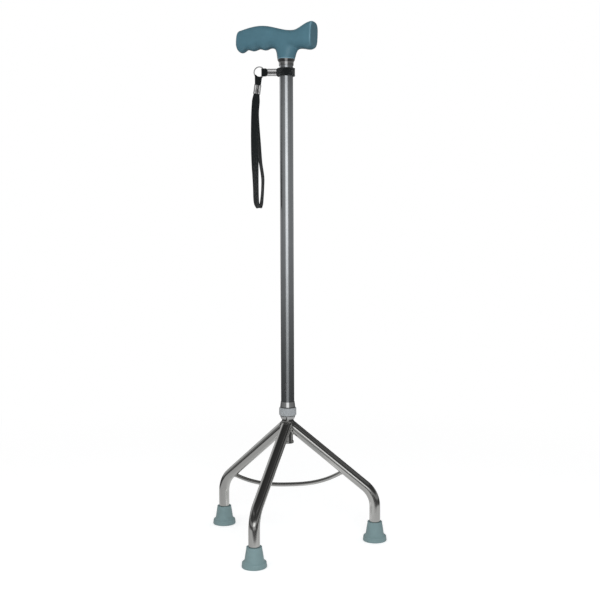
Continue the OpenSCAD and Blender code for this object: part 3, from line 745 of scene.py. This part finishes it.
def foot_outline():
    """Outline of a rubber foot from the middle of its sole to the floor of its socket."""
    edge_r = FOOT_BASE_R - SOLE_TAPER
    corners = [(0, 0, 0)]
    for share in SOLE_GROOVES:
        corners += [(FOOT_BASE_R * share + aside, up, 0.3) for aside, up in SOLE_GROOVE]
    corners += [(FOOT_BASE_R - 0.2, 0, 1.2), (FOOT_BASE_R, 1.6, 1.0), (edge_r, SOLE_EDGE_H, 1.0)]
    rise = FOOT_H / 2 - SOLE_EDGE_H
    for a in np.radians(FLARE_STEPS):
        out = (edge_r - FOOT_WAIST_R) * (1 - sin(a))
        corners.append((FOOT_WAIST_R + out, SOLE_EDGE_H + rise * (1 - cos(a)), 0.9))
    corners += [(FOOT_WAIST_R, FOOT_H / 2, 2.0), (FOOT_MOUTH_R, FOOT_H - MOUTH_H, 0.8)]
    socket = LEG_R + FIT_GAP
    corners += [(FOOT_MOUTH_R, FOOT_H, 0.7), (socket, FOOT_H, 0.6), (socket, SOLE_T, 0.3), (0, SOLE_T, 0)]
    return eased(corners)


def add_feet():
    """Flared rubber feet with ringed soles."""
    points, faces = revolve_solid(foot_outline(), FOOT_SIDES)
    for name, (turn, _, _) in LEGS.items():
        place = points + polar(turn) * LEG_REACH
        piece(f"rubber_foot_{name}", place, faces, "base", "foot_rubber", f"foot_{name}")


# Shaft and lock
SHAFT_IN_GRIP = 28
SLEEVE_R = SHAFT_R + 0.8
FERRULE_BORE = SHAFT_R - SHAFT_WALL + 1.15
FERRULE_RIM = SHAFT_R + 1.5
FERRULE_TOP_R = SHAFT_R + 0.45
FERRULE_LOW = -10
FERRULE_SEAT = -3.6
RIVET_HEAD_R = RIVET_R * 1.5
RIVET_RISE = 0.9
RIVET_TAIL = -2.4
RIVET_SIDES = 32
RECESS_R = NUT_R - 1.6
NUT_SEAT = 2.5
NUT_CHAMFER = 1
NUT_RIB_DEEP = 0.6
NUT_RIB_STEPS = 14
# Places on a rib's pitch, away from the middle of a groove, where its flank begins and ends
NUT_FLANK = (0.10, 0.26)
CONE_WALL = 0.9
CONE_SPIGOT = 2.4
CONE_STEP = 1.4
CONE_STEP_R = SHAFT_R + 1.1


def lathe(name, corners, base, *place):
    """Sleeve or ring turned from corners (radius, height above a base, rounding)."""
    piece(name, *revolve(eased(corners) + [0, base], FINE), *place)


def add_shaft():
    """Shaft tube, its key rivets and the bright ferrule on its lower end."""
    bore = SHAFT_R - SHAFT_WALL
    top = HANDLE_Z + SHAFT_IN_GRIP
    barrel = [(SHAFT_R, SHAFT_Z, 0.4), (SHAFT_R, top, 0.4), (bore, top, 0.4), (bore, SHAFT_Z, 0.4)]
    lathe("shaft_barrel", barrel, 0, "shaft", "shaft_metal", "shaft_tube")
    arc = np.linspace(0, pi / 2, 10)
    dome = [(RIVET_HEAD_R * sin(a), RIVET_RISE * cos(a)) for a in arc]
    dome += [(RIVET_HEAD_R, -0.15), (RIVET_HEAD_R - 0.1, -0.3), (RIVET_R, -0.35)]
    dome += [(RIVET_R, RIVET_TAIL), (0, RIVET_TAIL)]
    points, faces = revolve_solid(np.array(dome), RIVET_SIDES)
    ahead = polar(FRONT_TURN)
    forward = points @ np.array([np.cross(UP, ahead), UP, ahead]) + ahead * SHAFT_R
    heads = [(forward + UP * z, faces) for z in (RIVET_LOW_Z, RIVET_LOW_Z + RIVET_PITCH)]
    piece("rivet_pair", *join(heads), "shaft", "rivet_metal", "key_rivets")
    seat = SHAFT_R + FIT_GAP
    ferrule = [
        (FERRULE_BORE, FERRULE_LOW, 0.2), (SLEEVE_R, FERRULE_LOW, 0.3), (SLEEVE_R, 0, 0.2),
        (FERRULE_RIM, 0, 0.35), (FERRULE_RIM, 1, 0.5), (FERRULE_TOP_R, FERRULE_H, 0.25),
        (seat, FERRULE_H, 0.1), (seat, FERRULE_SEAT, 0.1), (FERRULE_BORE, FERRULE_SEAT, 0.1),
    ]
    lathe("ferrule_cone", ferrule, FERRULE_Z, "shaft", "bright_chrome", "lock_ferrule")


def add_nut():
    """Knurled nut with ribs that run out at its chamfers, and the bright cone under it."""
    bore = SLEEVE_R + RUN_GAP
    face_r = NUT_R - NUT_CHAMFER
    chamfer = np.linspace(0.15, 0.9, 8)
    corners = [(RECESS_R, 0, 0.1), (face_r, 0, 0.2)]
    corners += [(face_r + s, s, 0) for s in chamfer]
    corners += [(NUT_R, z, 0) for z in np.linspace(NUT_CHAMFER, NUT_H - NUT_CHAMFER, 10)]
    corners += [(face_r + s, NUT_H - s, 0) for s in chamfer[::-1]]
    corners += [(face_r, NUT_H, 0.2), (bore, NUT_H, 0.3)]
    corners += [(bore, NUT_SEAT, 0.1), (RECESS_R, NUT_SEAT, 0.1)]
    outline = eased(corners)
    steps = NUT_RIBS * NUT_RIB_STEPS
    rows = []
    for k in range(steps):
        phase = k * NUT_RIBS / steps % 1
        groove = NUT_RIB_DEEP * (1 - smooth_step(abs(phase - 0.5), *NUT_FLANK))
        radius = np.minimum(outline[:, 0], NUT_R - groove)
        rows.append(radius[:, None] * polar(TAU * k / steps) + outline[:, 1:] * UP)
    faces = grid_faces(steps, len(outline), True, True)
    piece("knurled_nut", np.array(rows) + UP * NUT_Z, faces, "lock_nut", "nut_metal", "lock_nut")
    inner = POST_R + RUN_GAP
    rim = RECESS_R - FIT_GAP
    cone = [
        (inner, 0, 0.2), (inner + CONE_WALL, 0, 0.4), (RECESS_R, CONE_H - 1, 0.6),
        (RECESS_R, CONE_H - FIT_GAP, 0.2), (rim, CONE_H - FIT_GAP, 0), (rim, CONE_H + CONE_SPIGOT, 0.2),
        (CONE_STEP_R, CONE_H + CONE_SPIGOT, 0.1), (CONE_STEP_R, CONE_H + CONE_STEP, 0.1),
        (inner + CONE_WALL, 2.9, 0.1), (inner, 2.7, 0.1),
    ]
    lathe("bright_cone", cone, CONE_Z, "lock_nut", "bright_chrome", "nut_cone")


# Handle
BACK_ROUND = 4.5
NOSE_ROUND = 2.5
BACK_LEAN = 1
NOSE_LEAN = 0.8
LEAN_RUN = 20
GROOVE_IN = 26
END_PAST = 4
BACK_END = -GRIP_BACK - END_PAST
NOSE_START = GRIP_NOSE - END_PAST
NOSE_END = GRIP_NOSE + END_PAST
PALM_AT = 44
TOP_LINE = [
    (-GRIP_BACK - 17, HANDLE_H - SADDLE_DROP + 2.5), (-PALM_AT, HANDLE_H - 1),
    (14, HANDLE_H - SADDLE_DROP), (GRIP_NOSE - 0.8, HANDLE_H), (NOSE_END, HANDLE_H - 0.3),
]
UNDER_LINE = [(BACK_END, GRIP_UNDER + 4), (-GRIP_BACK + 7, GRIP_UNDER - 3.2)]
for step in (2, 1, 0):
    UNDER_LINE.append((-GROOVE_IN - FINGER_PITCH * step, GRIP_UNDER + FINGER_DEPTH / 2))
    ridge = FINGER_DEPTH / 2 if step else 1
    UNDER_LINE.append((-GROOVE_IN - FINGER_PITCH * (step - 0.5), GRIP_UNDER - ridge))
UNDER_LINE += [
    (GRIP_NOSE / 2, GRIP_UNDER - 2.2), (GRIP_NOSE - 8, GRIP_UNDER - 4.4), (NOSE_END, GRIP_UNDER - 0.9),
]
HALF_WIDTH = [(BACK_END, 13), (-PALM_AT, 16.5), (-END_PAST, 15), (NOSE_START, 18.5), (NOSE_END, 18.5)]
SECTION = [(BACK_END, 2.8), (0, 2.3), (NOSE_START, 3.2), (NOSE_END, 3.2)]
GRIP_STEPS = 150
END_ARC = radians(85)
END_STEPS = 10
NECK_STEPS = 30
NECK_IN_GRIP = 8
NECK_TO_NOSE = 11
NECK_TO_BACK = 5
TRIM_LOW_R = SHAFT_R + 1
TRIM_LIP = 0.8
HANDLE_VOXEL = 0.7
HANDLE_SMOOTH = 8
# Where the neck blends into the grip: from and to along the grip, and up and down from its underside
BLEND_BACK = (-24, -14)
BLEND_NOSE = (26, 38)
BLEND_RISE = (5, 15)
BLEND_SMOOTH = 120


def follow(keys, s):
    """Height at s on a smooth line through key points (place, height)."""
    places, heights = np.array(keys, float).T
    k = min(max(int(np.searchsorted(places, s, side="right")) - 1, 0), len(places) - 2)
    t = (s - places[k]) / (places[k + 1] - places[k])
    return heights[k] + (heights[k + 1] - heights[k]) * (1 - cos(pi * t)) / 2


def end_inset(gap, r):
    """Distance by which a section shrinks near a rounded end."""
    return 0 if gap >= r else r - sqrt(max(r * r - (r - gap) ** 2, 0))


def end_lean(gap):
    """Share of an end's lean at a distance from it."""
    return max(1 - gap / LEAN_RUN, 0) ** 2


def power(values, n):
    """Signed power."""
    return np.sign(values) * np.abs(values) ** n


def capped(rings):
    """Closed skin over rings, with a flat cap on each end."""
    rows, sides = rings.shape[:2]
    return rings.reshape(-1, 3), grid_faces(rows, sides, False, True) + end_caps(rows, sides)


def grip_shell():
    """Grip along X, with a palm hump, a saddle, a raised nose and finger grooves."""
    a = full_turn(FINE)
    quarter = np.linspace(0, END_ARC, END_STEPS)
    back = -GRIP_BACK + BACK_ROUND * (1 - np.cos(quarter))
    nose = GRIP_NOSE - NOSE_ROUND * (1 - np.cos(quarter[::-1]))
    middle = np.linspace(-GRIP_BACK + BACK_ROUND, GRIP_NOSE - NOSE_ROUND, GRIP_STEPS)
    rings = []
    for s in np.concatenate([back, middle, nose]):
        inset = end_inset(s + GRIP_BACK, BACK_ROUND) + end_inset(GRIP_NOSE - s, NOSE_ROUND)
        top = follow(TOP_LINE, s) - inset
        under = follow(UNDER_LINE, s) + inset
        half = follow(HALF_WIDTH, s) - inset
        square = follow(SECTION, s)
        rise = power(np.sin(a), 2 / square)
        aside = power(np.cos(a), 2 / square)
        lean = BACK_LEAN * end_lean(s + GRIP_BACK) + NOSE_LEAN * end_lean(GRIP_NOSE - s)
        height = (top + under) / 2 + (top - under) / 2 * rise
        rings.append(np.column_stack([s + lean * rise, half * aside, height]))
    return capped(np.array(rings))


def neck_shell():
    """Neck: round at the trim ring, and spreading along the grip as it rises."""
    a = full_turn(FINE)
    spread = np.where(np.cos(a) > 0, NECK_TO_NOSE, NECK_TO_BACK)
    rings = []
    for z in np.append(np.linspace(0, GRIP_UNDER, NECK_STEPS), GRIP_UNDER + NECK_IN_GRIP):
        rise = min(z / GRIP_UNDER, 1)
        out = NECK_R + spread * (0.5 * rise + 0.5 * rise**5)
        rings.append(np.column_stack([out * np.cos(a), NECK_R * np.sin(a), np.full(FINE, z)]))
    return capped(np.array(rings))


def smooth(obj, passes, group=""):
    """Smooths a piece, or one vertex group of it, and bakes it."""
    fair = obj.modifiers.new("fair", "SMOOTH")
    fair.factor = 0.5
    fair.iterations = passes
    fair.vertex_group = group
    bake(obj)


def add_handle():
    """Grip and neck moulded in one, and the bright ring under them."""
    points, faces = join([grip_shell(), neck_shell()])
    handle = piece("moulded_grip", points + UP * HANDLE_Z, faces, "shaft", "handle_plastic", "handle")
    skin = handle.modifiers.new("skin", "REMESH")
    skin.mode = "VOXEL"
    skin.voxel_size = HANDLE_VOXEL * MM
    smooth(handle, HANDLE_SMOOTH)
    points = np.array([v.co for v in handle.data.vertices]) / MM - AXIS - UP * HANDLE_Z
    near = smooth_step(points[:, 0], *BLEND_BACK) * (1 - smooth_step(points[:, 0], *BLEND_NOSE))
    near *= 1 - smooth_step(np.abs(points[:, 2] - GRIP_UNDER), *BLEND_RISE)
    group = handle.vertex_groups.new(name="blend")
    for index in np.nonzero(near > 0)[0]:
        group.add([int(index)], float(near[index]), "REPLACE")
    smooth(handle, BLEND_SMOOTH, group.name)
    seat = SHAFT_R + FIT_GAP
    top = TRIM_H - FIT_GAP
    ring = [
        (seat, 0, 0.2), (TRIM_LOW_R, 0, 0.4), (TRIM_LOW_R, TRIM_H / 2, 1.2), (NECK_R, TRIM_H - TRIM_LIP, 0.6),
        (NECK_R, top, 0.3), (seat, top, 0.1),
    ]
    lathe("trim_ring", ring, TRIM_Z, "shaft", "bright_chrome", "handle_trim_ring")


# Collar, ring and crimps
COLLAR_MID = 12.95
STRAND_OFF = 1.0
FOLD_MID = 1.7
FOLD_FROM = -27
FOLD_TO = 60
# Half the collar's thickness in its crimp, what it gains around the shaft and loses at the ring
HELD_HALF = 0.93
SHAFT_GAIN = 0.55
RING_LOSS = 0.36


def add_collar():
    """Loop of webbing around the shaft, gathered in the crimp and folded around the ring's bar."""
    touch = acos(COLLAR_MID / CRIMP_OUT) + atan2(STRAND_OFF, CRIMP_OUT)
    around = np.linspace(touch, TAU - touch, 120)
    path = [(COLLAR_MID * cos(a), COLLAR_MID * sin(a)) for a in around]
    crimp_end = CRIMP_OUT + CRIMP_LEN
    path += [(x, -STRAND_OFF) for x in np.linspace(CRIMP_OUT, crimp_end, 24)]
    fold = np.linspace(-pi / 2, pi / 2, 24)
    path += [(BAR_OUT + FOLD_MID * cos(a), FOLD_MID * sin(a)) for a in fold]
    path += [(x, STRAND_OFF) for x in np.linspace(crimp_end, CRIMP_OUT, 24)]
    path = relax(resample(np.array(path), 360, True), 6, True)
    x = path[:, 0]
    near = 1 - smooth_step(np.hypot(x, path[:, 1]), COLLAR_MID + 0.4, CRIMP_OUT)
    far = smooth_step(x, crimp_end + 0.5, BAR_OUT - 2)
    half_t = HELD_HALF + SHAFT_GAIN * near - RING_LOSS * far
    gathered = smooth_step(x, COLLAR_MID, CRIMP_OUT) * (1 - smooth_step(x, crimp_end, crimp_end + 2.5))
    half_w = (WEB_W - (WEB_W - HELD_W + 0.2) * gathered) / 2
    line = np.column_stack([path, np.zeros(len(path))])
    rings, faces, uvs = band(line, UP, half_w, half_t, closed=True)
    piece("webbing_collar", along_strap(rings), faces, "collar", "webbing", "strap_collar", uvs)


# Crimps, with the webbing that they hold and the arch of their ribs
CRIMP_SKIN = 0.7
CRIMP_METAL = 0.65
CRIMP_SHOULDER = 1.1
CRIMP_ROOM = 0.1
COLLAR_BUNDLE = 4.1
WRIST_BUNDLE = 4.2
COLLAR_ARCH = 0.12
WRIST_ARCH = 0.5
GROOVE_HALF = 1.3
GROOVE_DEEP = 0.5
# Inset of a crimp's skin at places from its end to its waist, and where its inner skin begins
CRIMP_ROLL = [(0, 0.55), (0.08, 0.22), (0.3, 0.05), (0.7, 0), (3, 0.12), (CRIMP_LEN / 2, 0.18)]
CRIMP_LIP = 0.1


def crimp_shell(inside_t, arch):
    """Pressed sleeve along Z, with two arched ribs on each face and rolled ends."""
    high = (HELD_W + CRIMP_ROOM) / 2 + CRIMP_SKIN
    thick = inside_t / 2 + CRIMP_SKIN
    rib = (high - GROOVE_HALF) / 2
    face = [(high - rib * (1 - t), thick - arch * t * t) for t in np.linspace(0.8, -1, 8)]
    face.append((0.0, thick - arch - GROOVE_DEEP))
    face += [(-x, y) for x, y in face[-2::-1]]
    shoulder = thick - CRIMP_SHOULDER
    half = [(high, shoulder, 0.5)] + [(x, y, 0.3) for x, y in face] + [(-high, shoulder, 0.5)]
    outer = eased(half + [(-x, -y, r) for x, y, r in half])
    count = len(outer)
    inner = outer * [(high - CRIMP_METAL) / high, (thick - CRIMP_METAL) / thick]
    rows = CRIMP_ROLL + [(CRIMP_LEN - z, inset) for z, inset in CRIMP_ROLL[-2::-1]]
    skins = [(z, outer * [1 - inset / high, 1 - inset / thick]) for z, inset in rows]
    skins += [(z, inner) for z in (CRIMP_LEN - CRIMP_LIP, CRIMP_LIP)]
    rings = [np.column_stack([skin, np.full(count, z)]) for z, skin in skins]
    return np.concatenate(rings), grid_faces(len(rings), count, True, True)


def add_crimps():
    """Plated crimps on the collar and on the wrist strap."""
    points, faces = crimp_shell(COLLAR_BUNDLE, COLLAR_ARCH)
    level = points[:, ::-1] + [CRIMP_OUT, 0, 0]
    piece("collar_sleeve", along_strap(level), faces, "collar", "crimp_metal", "collar_crimp")
    points, faces = crimp_shell(WRIST_BUNDLE, WRIST_ARCH)
    place = along_strap(points - UP * (WRIST_DROP + CRIMP_LEN), RING_OUT, WRIST_TILT)
    piece("wrist_sleeve", place, faces, "wrist", "crimp_metal", "wrist_crimp")


# Webbing tab on the ring: thickness, half the distance between its strands, and reach into the crimp
TAB_T = 1.1
TAB_OFF = 1.1
TAB_IN = 5
TAB_ROOM = 0.4
TAB_COLUMNS = 17
TAB_ROWS = 72


def add_ring():
    """Wire ring with a straight bar, and the webbing tab folded over it."""
    half = sqrt(RING_R**2 - RING_CHORD**2)
    bend = pi - atan2(half, RING_CHORD)
    a = np.linspace(bend, -bend, 90)
    path = [(RING_R * cos(t), RING_R * sin(t)) for t in a]
    path += [(-RING_CHORD, z) for z in np.linspace(-half, half, 30)[1:-1]]
    path = relax(resample(np.array(path), 160, True), 3, True)
    line = np.column_stack([path[:, 0], np.zeros(len(path)), path[:, 1]])
    rings, faces = tube(line, WIRE_R, [0, 1, 0], 20, closed=True)
    piece("wire_ring", along_strap(rings, RING_OUT), faces, "ring", "bright_chrome", "d_ring")
    tilt = degrees(WRIST_TILT)
    shares = np.linspace(0, 1, TAB_COLUMNS)
    low_half = (HELD_W - TAB_ROOM) / 2
    ends = (-WRIST_DROP - TAB_IN, -WRIST_DROP)
    rows = []
    for share in shares:
        arc = radians(FOLD_FROM - tilt + (FOLD_TO - FOLD_FROM) * share)
        down = np.array([sin(arc), 0, -cos(arc)])
        wire = down * RING_R
        foot = low_half * (2 * share - 1)
        row = [(foot, TAB_OFF, z) for z in ends]
        for t in np.linspace(0, pi, 19):
            row.append(wire - down * FOLD_MID * sin(t) + [0, FOLD_MID * cos(t), 0])
        row += [(foot, -TAB_OFF, z) for z in ends[::-1]]
        rows.append(relax(resample(np.array(row), TAB_ROWS), 2))
    rows = np.array(rows)
    faces = grid_faces(TAB_COLUMNS, TAB_ROWS, False, False)
    uvs = [(v, u) for u, v in grid_uvs(shares * WEB_W, lengths(rows[TAB_COLUMNS // 2]))]
    place = along_strap(rows, RING_OUT, WRIST_TILT)
    tab = piece("ring_fold", place, faces, "wrist", "webbing", "ring_tab", uvs)
    cloth = tab.modifiers.new("cloth", "SOLIDIFY")
    cloth.thickness = TAB_T * MM
    cloth.offset = 0
    bake(tab)


add_legs()
add_brace()
add_post()
add_feet()
add_shaft()
add_nut()
add_handle()
add_collar()
add_crimps()
add_ring()

# CAD nodes that show little or nothing keep their shape and get a finish
PLAIN_NODES = {
    "washer_steel": [f"foot_washer_{name}" for name in LEGS],
    "nylon": ["post_guide_bush", "lock_collet"],
}
for slot, names in PLAIN_NODES.items():
    for name in names:
        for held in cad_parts[name].material_slots:
            held.material = LOOKS[slot]


# Studio, in metres
FLOOR_R = 80.0
FLOOR_H = -0.0002
FLOOR_COLOUR = (0.80, 0.80, 0.80, 1)
FLOOR_LIFT = 0.48
FLOOR_FADE = (0.35, 1.3)
AMBIENT = 0.55
WHITE = (1, 1, 1, 1)
CAMERA_SIDE = VIEW_TURN + pi


def add_world():
    """White surroundings for the eye and for reflections, and a softer light."""
    world = bpy.data.worlds.new("studio")
    nodes = Nodes(world)
    light = nodes.node("Background", Color=WHITE, Strength=AMBIENT)
    white = nodes.node("Background", Color=WHITE)
    pick = nodes.feed("MixShader", nodes.seen_rays(), light.outputs[0], white.outputs[0])
    nodes.feed("OutputWorld", pick.outputs[0])
    bpy.context.scene.world = world


def studio_mesh(name, points, faces):
    """Studio surface, and the nodes of a new material on it."""
    mesh = bpy.data.meshes.new(name)
    mesh.from_pydata(points, [], faces)
    material = bpy.data.materials.new(name)
    mesh.materials.append(material)
    return add_object(name, mesh), Nodes(material)


def add_floor():
    """White floor that keeps the object's shadow and fades into the white surroundings."""
    points = [(FLOOR_R * cos(a), FLOOR_R * sin(a), FLOOR_H) for a in full_turn(FINE)]
    floor, nodes = studio_mesh("floor", points, [tuple(range(FINE))])
    matt = nodes.node("BsdfDiffuse", Color=FLOOR_COLOUR).outputs[0]
    lift = nodes.node("Emission", Strength=FLOOR_LIFT).outputs[0]
    near = nodes.feed("AddShader", matt, lift).outputs[0]
    white = nodes.node("Emission").outputs[0]
    place = nodes.node("TexCoord").outputs["Object"]
    distance = nodes.feed("VectorMath", place, operation="LENGTH").outputs["Value"]
    fade = nodes.feed("MapRange", distance, From_Min=FLOOR_FADE[0], From_Max=FLOOR_FADE[1])
    fade.interpolation_type = "SMOOTHSTEP"
    far = nodes.feed("MixShader", fade.outputs["Result"], near, white).outputs[0]
    seen = nodes.feed("MixShader", nodes.seen_rays(), matt, far).outputs[0]
    nodes.feed("OutputMaterial", seen)


# Surroundings seen only in reflections, as radiances: a pale sheet under the feet on a dark floor, a pale
# belt along the horizon and a bright panel behind the camera, with sides and rises in degrees
ROOM_R = 30.0
ROOM_FLOOR_H = -0.0001
ROOM_EYE_H = 0.4
SHEET_FRONT = (0.240, 0.262)
SHEET_SIDE = 15
SHEET_EDGE = (0.40, 0.46)
SHEET_TONE = 0.56
SHEET_SHARES = [(-180, 1.3), (-90, 0.85), (-30, 1), (0, 1.3), (30, 1.1), (90, 1), (180, 1.3)]
FLOOR_TONES = [
    (0, 0.09), (0.5, 0.08), (0.9, 0.05), (1.1, 0.06), (1.8, 0.085), (2.4, 0.105), (3.6, 0.15), (6, 0.21),
    (30, 0.3),
]
PANEL_FLOOR = [
    (0, 0.08), (0.36, 0.08), (0.52, 0.4), (0.9, 0.45), (1.15, 0.34), (1.34, 0.26), (1.8, 0.3), (2.4, 0.4),
    (3.6, 0.55), (6, 0.76), (12, 1.15), (30, 1.32),
]
BELT_TONES = [
    (-180, 0.08), (-155, 0.55), (-125, 0.52), (-100, 0.2), (-80, 0.23), (-45, 0.33), (45, 0.3), (75, 0.24),
    (100, 0.26), (130, 0.3), (160, 0.15), (180, 0.08),
]
BELT_FALL = [(0, 1), (8, 1), (10, 0.35), (12.5, 0.2), (34, 0.2), (36, 0.6), (40, 0.6), (43, 0.2), (90, 0.16)]
PANEL_TONES = [(0, 1.32), (7, 1.5), (9.5, 0.9), (11, 0.6), (12.5, 0.15), (20, 0.05), (90, 0.04)]
PANEL_HALF = 28
LEFT_WALL_AT = -140
LEFT_WALL_HALF = 60
LEFT_WALL_FALL = [(0, 0.8), (6, 0.8), (9, 1.1), (18, 1.3), (30, 1), (42, 0.4), (52, 0.1), (90, 0.08)]
# Distances of the floor's points under the sheet and across its edges, and degrees between sides
SHEET_INNER = [0.02, 0.1, 0.2]
SHEET_OUTER = np.arange(0.24, 0.5, 0.015)
BEYOND_SHEET = SHEET_EDGE[1] + 0.02
SIDE_STEP = 3


def round_about(side, out, height):
    """Place by its side, its distance from the shaft's axis and its height."""
    return AXIS * MM + polar(CAMERA_SIDE + radians(side)) * out + UP * height


def tone_at(place, tones):
    """Tone between key points (place, tone)."""
    return np.interp(place, *np.array(tones).T)


def panel_share(side, middle, half):
    """Share of a panel with soft sides at an angle."""
    return 1 - smooth_step(abs(side - middle), half * 0.5, half)


def wall_tone(side, rise):
    """Radiance of the surroundings above the horizon."""
    left = panel_share(side, LEFT_WALL_AT, LEFT_WALL_HALF)
    fall = tone_at(rise, BELT_FALL) * (1 - left) + tone_at(rise, LEFT_WALL_FALL) * left
    front = panel_share(side, 0, PANEL_HALF)
    return tone_at(side, BELT_TONES) * fall * (1 - front) + tone_at(rise, PANEL_TONES) * front


def floor_tone(side, distance):
    """Radiance of the surroundings below the horizon."""
    front = panel_share(side, 0, PANEL_HALF)
    tone = tone_at(distance, FLOOR_TONES) * (1 - front) + tone_at(distance, PANEL_FLOOR) * front
    ahead = distance * cos(radians(side - SHEET_SIDE))
    sheet = (1 - smooth_step(ahead, *SHEET_FRONT)) * (1 - smooth_step(distance, *SHEET_EDGE))
    return tone * (1 - sheet) + SHEET_TONE * tone_at(side, SHEET_SHARES) * sheet


def add_room():
    """Floor and dome that are seen only in reflections."""
    sides = np.arange(-180, 180, SIDE_STEP)
    points = []
    tones = []
    far = [d for d, _ in FLOOR_TONES + PANEL_FLOOR if d > BEYOND_SHEET]
    for distance in np.unique(np.concatenate([SHEET_INNER, SHEET_OUTER, far])):
        for side in sides:
            points.append(round_about(side, distance, ROOM_FLOOR_H))
            tones.append(floor_tone(side, distance))
    keys = BELT_FALL + PANEL_TONES + LEFT_WALL_FALL
    for rise in np.unique([r for r, _ in keys])[:-1]:
        out = ROOM_R * cos(radians(rise))
        height = ROOM_R * sin(radians(rise)) + ROOM_EYE_H
        for side in sides:
            points.append(round_about(side, out, height))
            tones.append(wall_tone(side, rise))
    rows = len(points) // len(sides)
    faces = grid_faces(rows, len(sides), False, True)
    points.append(AXIS * MM + UP * (ROOM_R + ROOM_EYE_H))
    tones.append(tone_at(90, PANEL_TONES))
    last = (rows - 1) * len(sides)
    for i in range(len(sides)):
        faces.append((last + i, last + (i + 1) % len(sides), len(points) - 1))
    room, nodes = studio_mesh("room", points, faces)
    paint = room.data.attributes.new("tone", "FLOAT", "POINT")
    paint.data.foreach_set("value", np.array(tones, np.float32))
    glow = nodes.node("Emission")
    nodes.link(nodes.node("Attribute", attribute_name="tone").outputs["Fac"], glow.inputs["Strength"])
    nodes.feed("OutputMaterial", glow.outputs[0])
    room.visible_camera = False
    room.visible_diffuse = False
    room.visible_transmission = False
    room.visible_shadow = False


def add_lamp(name, side, distance, height, size, power, aim, colour=(1, 1, 1)):
    """Soft box at a side angle from the camera, aimed at a height on the object's axis."""
    data = bpy.data.lights.new(name, "AREA")
    data.shape = "SQUARE"
    data.size = size
    data.energy = power
    data.color = colour
    lamp = add_object(name, data)
    stand = Vector(round_about(side, distance, height))
    toward = Vector(AXIS * MM + UP * aim) - stand
    lamp.matrix_world = Matrix.Translation(stand) @ toward.to_track_quat("-Z", "Y").to_matrix().to_4x4()
    lamp.visible_camera = False
    lamp.visible_glossy = False


add_world()
add_floor()
add_room()
add_lamp("key_lamp", side=4, distance=1.75, height=0.95, size=1.0, power=10.6, aim=0.6)
add_lamp("top_lamp", side=-40, distance=1.2, height=1.9, size=1.2, power=3.0, aim=0.6)
add_lamp("fill_lamp", 6, distance=0.9, height=0.5, size=0.4, power=1.2, aim=0.78, colour=(0.65, 0.85, 1.0))
bpy.context.scene.view_settings.view_transform = "Standard"
